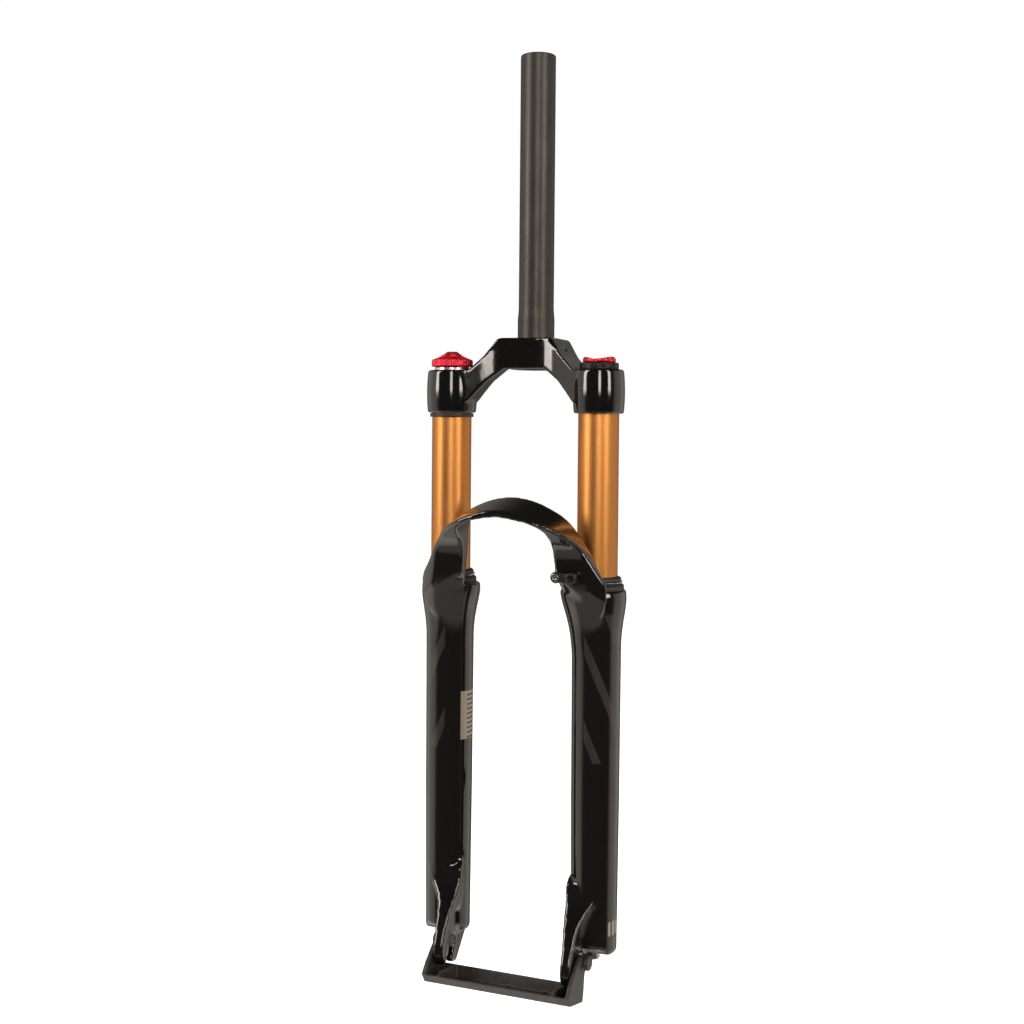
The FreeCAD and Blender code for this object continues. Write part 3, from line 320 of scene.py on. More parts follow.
def casting_paint():
    # Gloss black paint on cast magnesium: deep black with sharp reflections, a tonal satin stripe
    # down each leg, a small printed label inside one leg and plain printed bars on the other's foot.
    material, tree, shader = gloss_paint("gloss_black_paint_on_casting", 9.0)
    # Lowest and highest point of each pattern, in metres.
    stripe_span = (-0.33, -0.215)
    label_span = (-0.324, -0.285)
    mark_span = (-0.4655, -0.4545)
    # How far the stripe climbs round a leg, in metres a radian, and how fast each pattern repeats.
    climb = 0.045
    stripe_wave = 95.0
    line_wave = 1650.0
    bar_wave = 26.0
    place = add(tree, "ShaderNodeTexCoord").outputs["Object"]
    x, y, z = add(tree, "ShaderNodeSeparateXYZ", [place]).outputs
    leg = centre_of("damper_stanchion")
    to_front = add(tree, MATH, [leg.y, y], operation="SUBTRACT")
    from_middle = add(tree, MATH, [x], operation="ABSOLUTE")
    aside = add(tree, MATH, [from_middle, abs(leg.x)], operation="SUBTRACT")
    turn = add(tree, MATH, [aside, to_front], operation="ARCTAN2")
    climbed = add(tree, MATH, [turn, climb], operation="MULTIPLY")
    tilt = add(tree, MATH, [z, climbed], operation="ADD")
    phase = add(tree, MATH, [tilt, stripe_wave], operation="MULTIPLY")
    swoosh = add(tree, MATH, [phase], operation="SINE")
    crest = band(tree, swoosh, 0.72, 1.2, 0.03)
    stripe = add(tree, MATH, [crest, band(tree, z, *stripe_span, 0.002)], operation="MULTIPLY")
    satin = add(tree, MATH, [stripe, band(tree, turn, -0.2, 1.5, 0.02)], operation="MULTIPLY")
    in_leg = band(tree, turn, -2.2, -0.9, 0.01)
    right = add(tree, MATH, [x, 0.0], operation="LESS_THAN")
    label = add(tree, MATH, [in_leg, band(tree, z, *label_span, 0.0002)], operation="MULTIPLY")
    label = add(tree, MATH, [label, right], operation="MULTIPLY")
    line_phase = add(tree, MATH, [z, line_wave], operation="MULTIPLY")
    lines = band(tree, add(tree, MATH, [line_phase], operation="SINE"), 0.15, 1.2, 0.1)
    text = add(tree, MATH, [lines, band(tree, turn, -2.1, -1.25, 0.01)], operation="MULTIPLY")
    no_text = add(tree, MATH, [1.0, text], operation="SUBTRACT")
    ink = add(tree, MATH, [label, no_text], operation="MULTIPLY")
    left = add(tree, MATH, [x, 0.0], operation="GREATER_THAN")
    bar_phase = add(tree, MATH, [turn, bar_wave], operation="MULTIPLY")
    bars = band(tree, add(tree, MATH, [bar_phase], operation="SINE"), -0.3, 1.2, 0.08)
    on_foot = band(tree, z, *mark_span, 0.0002)
    mark = add(tree, MATH, [on_foot, band(tree, turn, 0.95, 2.0, 0.01)], operation="MULTIPLY")
    mark = add(tree, MATH, [mark, bars], operation="MULTIPLY")
    mark = add(tree, MATH, [mark, left], operation="MULTIPLY")
    print_on = add(tree, MATH, [ink, mark], operation="MAXIMUM")
    black = add(tree, MIX, {0: satin, 6: linear("#0D0C0C"), 7: linear("#1B1A19")}, data_type="RGBA")
    colour = add(
        tree, MIX, {0: print_on, 6: black.outputs[2], 7: linear("#74695A")}, data_type="RGBA")
    tree.links.new(colour.outputs[2], shader.inputs["Base Color"])
    not_gloss = add(tree, MATH, [satin, print_on], operation="MAXIMUM")
    dull = add(tree, RANGE, [not_gloss, 0.0, 1.0, 0.0, 0.3])
    peel = add(tree, RANGE, [grain(tree, 9.0), 0.3, 0.7, 0.07, 0.15])
    roughness = add(tree, MATH, [dull, peel], operation="ADD")
    tree.links.new(roughness.outputs[0], shader.inputs["Roughness"])
    return material


def gold_anodised():
    # Gold anodised and ground aluminium: warm satin metal, with faint soft bands along the tube.
    material, tree, shader = finish("gold_anodised_ground_tube", "#CB8A4C", Metallic=1.0, Roughness=0.42)
    bands = grain(tree, 5.0, (1.0, 1.0, 0.01), 2.0)
    shaded(tree, shader, bands, "#C78546", "#CF8E50")
    roughened(tree, shader, grain(tree, 30.0), 0.4, 0.44)
    return material


def worked_metal(name, dark, light, grain_mm, low, high, stretch=(1.0, 1.0, 0.2), metal=1.0, depth=0.006):
    """A bare or anodised metal whose grain is the tool's marks of a size in mm."""
    material, tree, shader = finish(name, dark, Metallic=metal, Roughness=low)
    marks = grain(tree, grain_mm, stretch)
    shaded(tree, shader, grain(tree, grain_mm * 6), dark, light)
    roughened(tree, shader, marks, low, high)
    raised(tree, shader, marks, depth)
    return material


def moulded(name, dark, light, grain_mm, low, high, depth, ior=1.5):
    """A moulded rubber or plastic whose skin has a grain of a size in mm."""
    material, tree, shader = finish(name, dark, Roughness=low, IOR=ior)
    skin = grain(tree, grain_mm, detail=4.0)
    shaded(tree, shader, grain(tree, grain_mm * 14), dark, light)
    roughened(tree, shader, skin, low, high)
    raised(tree, shader, skin, depth)
    return material


def foam_rubber():
    # Open-cell foam soaked in oil: dark, full of pores about a millimetre across.
    material, tree, shader = finish("oiled_open_cell_foam", "#2A2B2E", Roughness=0.6)
    place = add(tree, "ShaderNodeTexCoord").outputs["Object"]
    cells = add(tree, "ShaderNodeTexVoronoi", {"Vector": place, "Scale": 1 / (1.0 * MM)}).outputs["Distance"]
    # Painted shade: the colour darkens from the cell walls into each pore, where the bump sinks deepest.
    shaded(tree, shader, cells, "#151618", "#36383C", 0.1, 0.6)
    roughened(tree, shader, cells, 0.5, 0.8)
    raised(tree, shader, cells, 0.3)
    return material


def make_finishes():
    """Every finish, by the record's slot."""
    around = (0.15, 0.15, 1.0)
    made = {
        "steerer_black": drawn_tube(),
        # Gloss black paint on a forging: the same sprayed coat over a smoother part.
        "crown_black": gloss_paint("gloss_black_paint_on_forging", 7.0)[0],
        "casting_black": casting_paint(),
        "stanchion_gold": gold_anodised(),
        # Red anodised aluminium: bright and slightly pink where the light grazes its turned rings.
        "dial_red": worked_metal("red_anodised_dial", "#D22436", "#E8384A", 0.5, 0.28, 0.4, around, 0.75),
        "cap_red": worked_metal("red_anodised_cap", "#C41F2C", "#DC303C", 0.5, 0.25, 0.38, around, 0.75),
        # Clear anodised aluminium: pale silver collar with turned rings.
        "cap_silver": worked_metal("clear_anodised_collar", "#D6D6D8", "#F0F0F0", 0.4, 0.25, 0.36, around),
        # Black anodised aluminium: nearly black, satin.
        "cap_black": worked_metal("black_anodised_cap", "#1C1A1A", "#2B2827", 0.5, 0.32, 0.45, around, 0.6),
        # Machined aluminium: light grey with turning marks.
        "alloy": worked_metal("machined_aluminium", "#B9BABC", "#D2D3D4", 0.4, 0.28, 0.4, around),
        # Polished steel: brighter and smoother, with drawn lines.
        "steel": worked_metal("polished_steel", "#A9A9AA", "#C9C9C8", 0.3, 0.16, 0.3),
        # Turned brass: yellow, with the lathe's rings.
        "brass": worked_metal("turned_brass", "#B8913F", "#CFA955", 0.4, 0.24, 0.36, around),
        # Sintered bronze: brown and matt with fine pores.
        "bronze": worked_metal("sintered_bronze", "#6E5436", "#8A6C46", 0.3, 0.4, 0.55, (1.0, 1.0, 1.0)),
        # Nitrile rubber: near black with a dull moulded skin.
        "seal_rubber": moulded("nitrile_rubber", "#191817", "#242221", 0.3, 0.42, 0.58, 0.01),
        "foam": foam_rubber(),
        # Black acetal: waxy, nearly black.
        "delrin": moulded("black_acetal", "#181716", "#242221", 0.5, 0.22, 0.36, 0.008),
        # Recycled polypropylene: charcoal, spark-eroded skin that scatters the light to warm grey.
        "spacer_plastic": moulded("black_polypropylene", "#2B2927", "#363331", 0.35, 0.36, 0.52, 0.02, 1.49),
    }
    FINISH.update(made)


# Pieces
def finished_casting(shape):
    """The lowers as cast: the legs, arch and dropouts flow into each other and every edge is eased."""
    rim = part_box("damper_foam_ring")[1].z + shape.wiper_seat
    bm = node_copy("lower_casting")
    seat_r = radius_of("damper_foam_ring")
    bolt_hole_r = shape.bolt_hole
    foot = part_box("crush_washers")[1].z
    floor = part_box("damper_rod")[0].z
    posts = post_places()
    plugged = 30 * MM
    for side in SIDES:
        c = centre_of(side + "_stanchion")
        bar(bm, seat_r + LAP, (c.x, c.y, rim - plugged), (c.x, c.y, rim - SHORT))
        bar(bm, bolt_hole_r + LAP, (c.x, c.y, foot + SHORT), (c.x, c.y, floor + MM))
    for start, end, radius in posts:
        bar(bm, radius + FINE_LAP, start, (end[0], end[1] - SHORT, end[2]))
    casting = worn_in(mesh_object("casting", bm), shape.casting_skin / MM, shape.casting_blend)
    below_bushing = 5
    land = 0.6
    for side in SIDES:
        c = centre_of(side + "_stanchion")
        bush_r = radius_of(side + "_upper_bushing") / MM
        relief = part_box(side + "_lower_bushing")[0].z / MM - below_bushing
        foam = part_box(side + "_foam_ring")[0].z / MM
        bore = [
            (0, foot / MM - RUN_IN), (bolt_hole_r / MM, foot / MM - RUN_IN), (bolt_hole_r / MM, floor / MM),
            (bush_r - land, floor / MM), (bush_r - land, relief), (bush_r, relief), (bush_r, foam),
            (seat_r / MM, foam), (seat_r / MM, rim / MM + RUN_OUT), (0, rim / MM + RUN_OUT),
        ]
        cut_by(casting, turned("bore", c.x, c.y, bore))
    for start, end, radius in posts:
        bm = bmesh.new()
        bar(bm, radius, start, (end[0], end[1] + RUN_OUT * MM, end[2]), 32)
        cut_by(casting, mesh_object("tap", bm))
    soft(casting)
    given(casting, "lower_assembly", "casting_black", "lower_casting")


def radius_of(node):
    """Half a CAD node's width, in metres."""
    low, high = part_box(node)
    return (high.x - low.x) / 2


def mount(name):
    """A mount of the record, by its name."""
    return next(m for m in frame["record"]["mounts"] if m["name"] == name)


def post_places():
    """The two threaded holes of the disc posts: inner end, face and radius."""
    posts = mount("disc_post_mount")
    x, y, z = posts["pos_m"]
    half = posts["dims"]["spacing_y_mm"] * MM / 2
    radius = posts["dims"]["hole_r_mm"] * MM
    thread = 16 * MM
    return [((x, y - thread, z + s * half), (x, y, z + s * half), radius) for s in (-1, 1)]


def finished_crown(shape):
    """The forged crown, its bores sharp and its outside eased."""
    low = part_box("crown")[0]
    bm = node_copy("crown")
    press_r = radius_of_foot()
    press_depth = 25 * MM
    tube_r = radius_of("damper_stanchion")
    tube_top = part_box("damper_stanchion")[1].z
    cap_flange = 2.5 * MM
    cap_step = 1.6 * MM
    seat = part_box("damper_top_cap")[1].z - cap_flange
    cap_r = tube_r - cap_step
    bar(bm, press_r + FINE_LAP, (0, 0, -press_depth + SHORT), (0, 0, -SHORT), 96)
    for side in SIDES:
        c = centre_of(side + "_stanchion")
        bar(bm, tube_r + FINE_LAP, (c.x, c.y, low.z + SHORT), (c.x, c.y, tube_top), 96)
        bar(bm, cap_r + FINE_LAP, (c.x, c.y, tube_top - MM), (c.x, c.y, seat - SHORT), 96)
    crown = worn_in(mesh_object("crown_forging", bm), shape.crown_skin / MM, shape.crown_blend)
    # The brow is the upper front edge between the legs, eased more than the rest and fading in from below.
    brow_half = 34 * MM
    brow_back = -12 * MM
    brow_foot = -11 * MM
    brow_fade = 6 * MM
    brow = crown.vertex_groups.new(name="brow")
    for v in crown.data.vertices:
        x, y, z = v.co
        if abs(x) < brow_half and y < brow_back and z > brow_foot:
            brow.add([v.index], min(1.0, (z - brow_foot) / brow_fade), "REPLACE")
    rounding = crown.modifiers.new("rounding", "SMOOTH")
    rounding.factor = 0.5
    rounding.iterations = shape.brow_blend
    rounding.vertex_group = "brow"
    frozen(crown)
    crown.vertex_groups.clear()
    hole_low, hole_high = -30, 5
    hole = [(0, hole_low), (press_r / MM, hole_low), (press_r / MM, hole_high), (0, hole_high)]
    cut_by(crown, turned("hole", 0, 0, hole, 96))
    for side in SIDES:
        c = centre_of(side + "_stanchion")
        bore = [
            (0, low.z / MM - RUN_OUT), (tube_r / MM, low.z / MM - RUN_OUT), (tube_r / MM, tube_top / MM),
            (cap_r / MM, tube_top / MM), (cap_r / MM, seat / MM + RUN_OUT), (0, seat / MM + RUN_OUT),
        ]
        cut_by(crown, turned("bore", c.x, c.y, bore, 96))
    soft(crown)
    given(crown, "upper_assembly", "crown_black", "crown")


def radius_of_foot():
    """The steerer's pressed foot is its widest part."""
    return radius_of("steerer_tube")


def steerer(shape):
    """The steerer, from its pressed foot through the race seat to the plain tube."""
    low, high = (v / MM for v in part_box("steerer_tube"))
    press_r = radius_of_foot() / MM
    tube_r = mount("steerer")["dims"]["r_mm"]
    seat_r = mount("crown_race_seat")["dims"]["r_mm"]
    seat_top = mount("crown_race_seat")["dims"]["length_mm"]
    bore_r = mount("steerer_bore")["dims"]["r_mm"]
    outline = eased([
        (bore_r, low.z), (press_r, low.z), (press_r, 0, 0.02), (seat_r, 0, 0.02),
        (seat_r, seat_top, 1.5), (tube_r, seat_top + shape.race_taper / MM, 3.0),
        (tube_r, high.z, 1.0), (bore_r, high.z, 1.0),
    ])
    piece = turned("steerer", 0, 0, outline, 160)
    crisp(piece, 50)
    given(piece, "upper_assembly", "steerer_black", "steerer_tube")


def stanchion(side):
    """One leg's sliding tube, with its lower end chamfered."""
    node = side + "_stanchion"
    low, high = (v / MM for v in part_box(node))
    c = centre_of(node)
    radius = radius_of(node) / MM
    bore = radius - 2
    outline = eased([(bore, low.z), (radius, low.z, 1.0), (radius, high.z), (bore, high.z)])
    piece = turned(node + "_tube", c.x, c.y, outline, 192)
    crisp(piece, 50)
    given(piece, "upper_assembly", "stanchion_gold", node)


def dust_wiper(side):
    """The wiper as moulded: a flange on the casting, a waist for the spring and a thin lip."""
    node = side + "_dust_wiper"
    low, high = (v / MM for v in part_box(node))
    c = centre_of(node)
    tube = radius_of(side + "_stanchion") / MM
    seat = 5.5
    rim = low.z + seat
    spring = centre_of(side + "_garter_spring").z / MM
    outline = eased([
        (tube + 0.05, low.z), (tube + 4, low.z), (tube + 4, rim, 0.05), (tube + 5.1, rim, 0.3),
        (tube + 5.1, rim + 3.6, 1.3), (tube + 3.5, rim + 4.4, 0.5), (tube + 3.0, spring - 0.9, 0.3),
        (tube + 2.4, spring - 0.8, 0.4), (tube + 2.4, spring + 0.8, 0.4), (tube + 3.0, spring + 0.9, 0.4),
        (tube + 2.7, high.z - 1.2, 0.5), (tube + 0.3, high.z, 0.15), (tube + 0.05, high.z - 0.8, 0.1),
    ])
    piece = turned(node + "_moulding", c.x, c.y, outline, 128)
    crisp(piece, 60)
    given(piece, "lower_assembly", "seal_rubber", node)


def coil_tree():
    """Geometry nodes that wind small rings of wire side by side round a circle."""
    tree = bpy.data.node_groups.new("Garter spring", "GeometryNodeTree")
    sizes = [
        ("Centre", "NodeSocketVector"), ("Ring Radius", "NodeSocketFloat"),
        ("Coil Radius", "NodeSocketFloat"), ("Wire Radius", "NodeSocketFloat"),
        ("Coils", "NodeSocketInt"), ("Finish", "NodeSocketMaterial"),
    ]
    for name, kind in sizes:
        tree.interface.new_socket(name, in_out="INPUT", socket_type=kind)
    tree.interface.new_socket("Geometry", in_out="OUTPUT", socket_type="NodeSocketGeometry")
    size = add(tree, "NodeGroupInput").outputs
    path = add(tree, "GeometryNodeCurvePrimitiveCircle", {"Resolution": 128, "Radius": size["Ring Radius"]})
    stops = add(tree, "GeometryNodeCurveToPoints", {"Curve": path.outputs[0], "Count": size["Coils"]})
    loop = add(tree, "GeometryNodeCurvePrimitiveCircle", {"Resolution": 12, "Radius": size["Coil Radius"]})
    wire = add(tree, "GeometryNodeCurvePrimitiveCircle", {"Resolution": 5, "Radius": size["Wire Radius"]})
    coil = add(tree, "GeometryNodeCurveToMesh", {"Curve": loop.outputs[0], "Profile Curve": wire.outputs[0]})
    rings = add(tree, "GeometryNodeInstanceOnPoints", {
        "Points": stops.outputs["Points"], "Instance": coil.outputs[0],
        "Rotation": stops.outputs["Rotation"]})
    plain = add(tree, "GeometryNodeRealizeInstances", {0: rings.outputs[0]})
    moved = add(tree, "GeometryNodeTransform", {"Geometry": plain.outputs[0], "Translation": size["Centre"]})
    coated = add(tree, "GeometryNodeSetMaterial", {"Geometry": moved.outputs[0], "Material": size["Finish"]})
    add(tree, "NodeGroupOutput", {0: coated.outputs[0]})
    return tree


def garter_spring(side, tree):
    """The coiled spring round the wiper's waist."""
    node = side + "_garter_spring"
    low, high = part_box(node)
    clearance = 0.05 * MM
    wire_r = 0.16 * MM
    pitch = 0.62 * MM
    coil_r = (high.z - low.z) / 2 - clearance
    ring_r = radius_of(node) - coil_r - clearance
    piece = object_from(node + "_coils", bpy.data.meshes.new(node))
    winding = piece.modifiers.new("winding", "NODES")
    winding.node_group = tree
    values = {
        "Centre": centre_of(node), "Ring Radius": ring_r, "Coil Radius": coil_r - wire_r,
        "Wire Radius": wire_r, "Coils": round(math.tau * ring_r / pitch), "Finish": FINISH["steel"],
    }
    for item in tree.interface.items_tree:
        if item.in_out == "INPUT":
            winding[item.identifier] = values[item.name]
    frozen(piece)
    soft(piece)
    given(piece, "lower_assembly", "steel", node)


def sag_ring():
    """The travel O-ring pushed up under the crown."""
    low, high = (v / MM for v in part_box("sag_o_ring"))
    c = centre_of("sag_o_ring")
    tube = radius_of("damper_stanchion") / MM
    outer = radius_of("sag_o_ring") / MM
    corners = [(tube, low.z, 0.4), (outer, low.z, 1.2), (outer, high.z, 1.2), (tube, high.z, 0.4)]
    outline = eased(corners, steps=5)
    piece = turned("sag_ring", c.x, c.y, outline)
    crisp(piece, 60)
    given(piece, "upper_assembly", "seal_rubber", "sag_o_ring")


def worn_part(node, name, body, slot, voxel, passes):
    """A small part's own shape with its edges broken as a tumbled or moulded part's are."""
    piece = worn_in(mesh_object(name, node_copy(node)), voxel, passes)
    given(piece, body, slot, node)


# Sizes that a user may change
class ForkShape(bpy.types.PropertyGroup):
    """Sizes of the finished surfaces."""

    casting_skin: FloatProperty(
        name="Casting Skin", description="Mesh spacing of the casting, which also sets its edge radius",
        default=1.15 * MM, min=0.5 * MM, max=4 * MM, unit="LENGTH", precision=5)
    casting_blend: IntProperty(
        name="Casting Blend", description="How many times the casting is smoothed",
        default=12, min=0, max=40)
    crown_skin: FloatProperty(
        name="Crown Skin", description="Mesh spacing of the crown, which also sets its edge radius",
        default=0.8 * MM, min=0.4 * MM, max=4 * MM, unit="LENGTH", precision=5)
    crown_blend: IntProperty(
        name="Crown Blend", description="How many times the crown is smoothed",
        default=12, min=0, max=40)
    brow_blend: IntProperty(
        name="Brow Blend", description="Further smoothing of the crown's upper front edge",
        default=60, min=0, max=200)
    part_skin: FloatProperty(
        name="Part Skin", description="Mesh spacing of the dial, the caps and the hose guide",
        default=0.28 * MM, min=0.15 * MM, max=2 * MM, unit="LENGTH", precision=5)
    spacer_skin: FloatProperty(
        name="Spacer Skin", description="Mesh spacing of the dropout spacer",
        default=0.55 * MM, min=0.3 * MM, max=2 * MM, unit="LENGTH", precision=5)
    bolt_hole: FloatProperty(
        name="Bolt Hole", description="Radius of the foot bolt's hole in the casting",
        default=4.3 * MM, min=1 * MM, max=10 * MM, unit="LENGTH", precision=5)
    wiper_seat: FloatProperty(
        name="Wiper Seat", description="Depth of the seat pressed full by the dust wiper",
        default=5.5 * MM, min=1 * MM, max=15 * MM, unit="LENGTH", precision=5)
    race_taper: FloatProperty(
        name="Race Taper", description="Height over which the crown race seat narrows to the steerer",
        default=8 * MM, min=1 * MM, max=30 * MM, unit="LENGTH", precision=5)


class ForkStage(bpy.types.PropertyGroup):
    """The floor, the light and the camera."""

    camera_turn: FloatProperty(
        name="Camera Turn", description="Angle of the camera round the steerer from straight ahead",
        default=math.radians(20.0), subtype="ANGLE")
    camera_reach: FloatProperty(
        name="Camera Reach", description="Level distance from the steerer to the camera",
        default=1.0726, min=0.2, max=10.0, unit="LENGTH", precision=4)
    camera_height: FloatProperty(
        name="Camera Height", description="Height of the camera above the crown's top",
        default=-0.0656, min=-1.0, max=3.0, unit="LENGTH", precision=4)
    camera_dip: FloatProperty(
        name="Camera Dip", description="How far the camera looks down", default=math.radians(0.912),
        subtype="ANGLE")
    camera_aside: FloatProperty(
        name="Camera Aside", description="How far the camera looks to the side of the steerer",
        default=math.radians(1.008), subtype="ANGLE")
    camera_roll: FloatProperty(
        name="Camera Roll", description="Lean of the camera", default=math.radians(0.495), subtype="ANGLE")
    camera_lens: FloatProperty(
        name="Camera Lens", description="Focal length of the camera in millimetres",
        default=46.13, min=10.0, max=200.0, subtype="DISTANCE_CAMERA")
    camera_shift: FloatProperty(
        name="Camera Shift", description="Vertical shift of the camera", default=-0.07, min=-0.5, max=0.5)
    floor_drop: FloatProperty(
        name="Floor Drop",
        description="Depth of the floor below the fork, so the spacer can be drawn down above it",
        default=0.048, min=0.0, max=1.0, unit="LENGTH")
    floor_colour: FloatVectorProperty(
        name="Floor Colour", description="Colour of the floor", subtype="COLOR", size=4, min=0.0, max=1.0,
        default=linear("#F4F3F1"))
    room_colour: FloatVectorProperty(
        name="Room Colour", description="Warm grey of the studio's side walls", subtype="COLOR", size=4,
        min=0.0, max=1.0, default=linear("#FFF6EC"))


# Operators
class FORK_OT_finishes(bpy.types.Operator):
    """Make every finish and lay each on the CAD nodes of its slot"""

    bl_idname = "fork.finishes"
    bl_label = "Lay Finishes"

    def execute(self, context):
        make_finishes()
        for part in frame["record"]["subparts"]:
            for holder in frame["nodes"][part["node"]].material_slots:
                holder.material = FINISH[part["material_slot"]]
        return {"FINISHED"}


class FORK_OT_tubes(bpy.types.Operator):
    """Turn the steerer and the two stanchions"""

    bl_idname = "fork.tubes"
    bl_label = "Turn Tubes"

    def execute(self, context):
        steerer(context.scene.fork_shape)
        for side in SIDES:
            stanchion(side)
        return {"FINISHED"}


class FORK_OT_crown(bpy.types.Operator):
    """Forge the crown"""

    bl_idname = "fork.crown"
    bl_label = "Forge Crown"

    def execute(self, context):
        finished_crown(context.scene.fork_shape)
        return {"FINISHED"}


class FORK_OT_casting(bpy.types.Operator):
    """Cast the lowers"""

    bl_idname = "fork.casting"
    bl_label = "Cast Lowers"

    def execute(self, context):
        finished_casting(context.scene.fork_shape)
        return {"FINISHED"}


class FORK_OT_seals(bpy.types.Operator):
    """Mould the dust wipers and the travel ring, and wind the garter springs"""

    bl_idname = "fork.seals"
    bl_label = "Fit Seals"

    def execute(self, context):
        tree = coil_tree()
        for side in SIDES:
            dust_wiper(side)
            garter_spring(side, tree)
        sag_ring()
        return {"FINISHED"}


class FORK_OT_caps(bpy.types.Operator):
    """Machine the lockout dial, the air valve cap and the top caps"""

    bl_idname = "fork.caps"
    bl_label = "Machine Caps"

    def execute(self, context):
        skin = context.scene.fork_shape.part_skin / MM
        worn_part("lockout_dial", "dial_body", "lockout_dial", "dial_red", skin, 2)
        worn_part("air_valve_cap", "valve_cover", "air_valve_cap", "cap_red", skin, 2)
        worn_part("air_top_cap", "air_cap", "upper_assembly", "cap_black", skin, 1)
        worn_part("damper_top_cap", "damper_cap", "upper_assembly", "cap_silver", skin, 1)
        return {"FINISHED"}


class FORK_OT_fittings(bpy.types.Operator):
    """Make the hose guide, its screw and the foot bolts"""

    bl_idname = "fork.fittings"
    bl_label = "Fit Guide and Bolts"

    def execute(self, context):
        skin = context.scene.fork_shape.part_skin / MM
        worn_part("hose_guide", "guide_clip", "lower_assembly", "delrin", skin, 3)
        worn_part("hose_guide_screw", "guide_screw", "lower_assembly", "steel", skin * 0.7, 1)
        worn_part("foot_bolts", "foot_bolt_pair", "lower_assembly", "steel", skin, 1)
        return {"FINISHED"}


class FORK_OT_spacer(bpy.types.Operator):
    """Mould the dropout spacer"""

    bl_idname = "fork.spacer"
    bl_label = "Mould Spacer"

    def execute(self, context):
        skin = context.scene.fork_shape.spacer_skin / MM
        worn_part("dropout_spacer", "spacer_tray", "dropout_spacer", "spacer_plastic", skin, 2)
        return {"FINISHED"}


# Each lamp: direction aside of the camera, half width, lowest and highest angle in degrees, and power.
LAMPS = ((-68.0, 7.0, 1.0, 45.0, 9.0), (0.0, 5.0, 1.0, 45.0, 9.0), (44.0, 6.0, 1.0, 45.0, 9.0))
# Each area light: name, place in metres, power in watts and size in metres.
AREA_LIGHTS = (("key_light", (-1.4, -0.9, 1.6), 40.0, 1.2), ("fill_light", (1.6, 0.6, 1.4), 30.0, 1.4))
LIGHT_AIM = Vector((0, 0, -0.2))
FLOOR_RADIUS = 4.0


def studio_world(turn, room):
    """Pale side walls between a dark front and a dim back, a faint glow from below and three tall lamps:
    one straight above the camera's line and one on either side of it."""
    # Where each part fades in or out, in degrees aside of the camera or above the level.
    front_edge = (58.0, 80.0)
    back_edge = (120.0, 150.0)
    wall_top = (18.0, 40.0)
    ground_edge = (-22.0, -34.0)
    in_degrees = 180 / math.pi
    world = bpy.data.worlds.new("Studio")
    bpy.context.scene.world = world
    world.use_nodes = True
    tree = world.node_tree
    tree.nodes.clear()
    way = add(tree, "ShaderNodeTexCoord").outputs["Generated"]
    facing = add(tree, "ShaderNodeVectorRotate", {"Vector": way, "Angle": -turn}, rotation_type="Z_AXIS")
    x, y, z = add(tree, "ShaderNodeSeparateXYZ", [facing]).outputs
    ahead = add(tree, MATH, [y, -1.0], operation="MULTIPLY")
    bearing = add(tree, MATH, [x, ahead], operation="ARCTAN2")
    aside = add(tree, MATH, [bearing, in_degrees], operation="MULTIPLY")
    climb = add(tree, MATH, [z], operation="ARCSINE")
    rise = add(tree, MATH, [climb, in_degrees], operation="MULTIPLY")
    away = add(tree, MATH, [aside], operation="ABSOLUTE")
    fades = [(away, *front_edge, 0.04, 0.75), (away, *back_edge, 1.0, 0.2), (rise, *wall_top, 1.0, 0.08),
             (rise, *ground_edge, 0.0, 0.4)]
    front, back, top, ground = (add(tree, RANGE, fade, interpolation_type="SMOOTHSTEP") for fade in fades)
    walls = add(tree, MATH, [front, back], operation="MULTIPLY")
    sides = add(tree, MATH, [walls, top], operation="MULTIPLY")
    total = add(tree, MATH, [sides, ground], operation="ADD")
    for place, spread, low, high, power in LAMPS:
        across = band(tree, aside, place - spread, place + spread, 1.0)
        lamp = add(tree, MATH, [across, band(tree, rise, low, high, 2.0)], operation="MULTIPLY")
        lamp = add(tree, MATH, [lamp, power], operation="MULTIPLY")
        total = add(tree, MATH, [total, lamp], operation="ADD")
    light = add(tree, "ShaderNodeBackground", {"Color": room, "Strength": total})
    plain = add(tree, "ShaderNodeBackground", {"Color": (1.0, 1.0, 1.0, 1.0), "Strength": 1.0})
    seen = add(tree, "ShaderNodeLightPath").outputs["Is Camera Ray"]
    both = add(tree, "ShaderNodeMixShader", [seen, light, plain])
    add(tree, "ShaderNodeOutputWorld", [both])


def pale_floor(drop):
    """A round floor a distance below the fork."""
    bm = bmesh.new()
    bmesh.ops.create_circle(bm, cap_ends=True, segments=96, radius=FLOOR_RADIUS,
                            matrix=Matrix.Translation((0, 0, CAD_BOX[0].z - drop)))
    return mesh_object("floor", bm)


def area_lights():
    """The two area lights, which show in no reflection."""
    for name, place, power, size in AREA_LIGHTS:
        lamp = bpy.data.lights.new(name, "AREA")
        lamp.energy = power
        lamp.size = size
        holder = bpy.data.objects.new(name, lamp)
        holder.location = place
        holder.rotation_euler = (LIGHT_AIM - Vector(place)).to_track_quat("-Z", "Y").to_euler()
        holder.visible_camera = False
        holder.visible_glossy = False
        bpy.context.scene.collection.objects.link(holder)


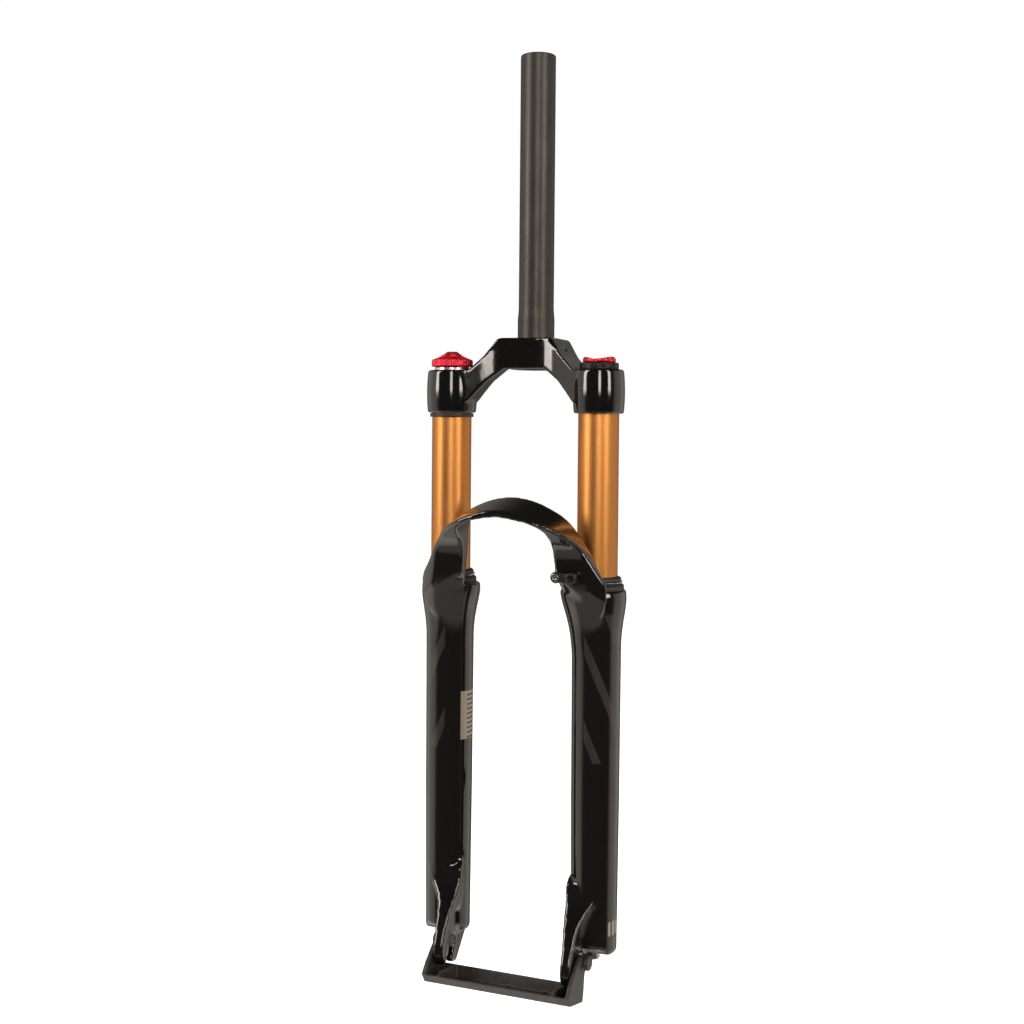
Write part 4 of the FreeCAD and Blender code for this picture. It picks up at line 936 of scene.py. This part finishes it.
def placed_camera(stage):
    """The camera, turned round the steerer and looking a little aside and down with a slight lean."""
    lens = bpy.data.cameras.new("camera")
    camera = bpy.data.objects.new("camera", lens)
    bpy.context.scene.collection.objects.link(camera)
    turn = stage.camera_turn
    to_camera = Vector((math.sin(turn), -math.cos(turn), 0.0))
    aside = Vector((math.cos(turn), math.sin(turn), 0.0))
    camera.location = to_camera * stage.camera_reach + Vector((0, 0, stage.camera_height))
    look = -to_camera * math.cos(stage.camera_aside) - aside * math.sin(stage.camera_aside)
    look = look * math.cos(stage.camera_dip) - Vector((0, 0, 1)) * math.sin(stage.camera_dip)
    right = look.cross(Vector((0, 0, 1))).normalized()
    up = right.cross(look)
    lean = stage.camera_roll
    leant_right = right * math.cos(lean) + up * math.sin(lean)
    leant_up = up * math.cos(lean) - right * math.sin(lean)
    camera.rotation_euler = Matrix((leant_right, leant_up, -look)).transposed().to_euler()
    lens.sensor_width = 36.0
    lens.lens = stage.camera_lens
    lens.shift_y = stage.camera_shift
    return camera


class FORK_OT_stage(bpy.types.Operator):
    """Lay the pale floor, light the studio and place the camera"""

    bl_idname = "fork.stage"
    bl_label = "Set Stage"

    def execute(self, context):
        stage = context.scene.fork_stage
        floor = pale_floor(stage.floor_drop)
        # Matt painted board: pale and even, with the faintest roller texture.
        board, tree, shader = finish(
            "matt_painted_board", tuple(stage.floor_colour), Roughness=0.9,
            Emission_Color=(1.0, 1.0, 1.0, 1.0), Emission_Strength=0.55)
        raised(tree, shader, grain(tree, 4.0), 0.05)
        floor.data.materials.append(board)
        floor.visible_glossy = False
        studio_world(stage.camera_turn, stage.room_colour)
        area_lights()
        context.scene.camera = placed_camera(stage)
        context.scene.view_settings.view_transform = "Standard"
        return {"FINISHED"}


class FORK_PT_parts(bpy.types.Panel):
    """The fork's pieces and stage"""

    bl_label = "Suspension Fork"
    bl_idname = "FORK_PT_parts"
    bl_space_type = "VIEW_3D"
    bl_region_type = "UI"
    bl_category = "Fork"

    def draw(self, context):
        for group in (context.scene.fork_shape, context.scene.fork_stage):
            column = self.layout.column()
            for name in group.__annotations__:
                column.prop(group, name)
        for operator in STEPS:
            self.layout.operator(operator.bl_idname)


STEPS = (FORK_OT_finishes, FORK_OT_tubes, FORK_OT_crown, FORK_OT_casting, FORK_OT_seals, FORK_OT_caps,
         FORK_OT_fittings, FORK_OT_spacer, FORK_OT_stage)
CLASSES = (ForkShape, ForkStage, *STEPS, FORK_PT_parts)


def register():
    for kind in CLASSES:
        bpy.utils.register_class(kind)
    bpy.types.Scene.fork_shape = PointerProperty(type=ForkShape)
    bpy.types.Scene.fork_stage = PointerProperty(type=ForkStage)


def unregister():
    del bpy.types.Scene.fork_stage
    del bpy.types.Scene.fork_shape
    for kind in reversed(CLASSES):
        bpy.utils.unregister_class(kind)


def main():
    register()
    for operator in STEPS:
        group, name = operator.bl_idname.split(".")
        getattr(getattr(bpy.ops, group), name)()


if __name__ == "__main__":
    main()
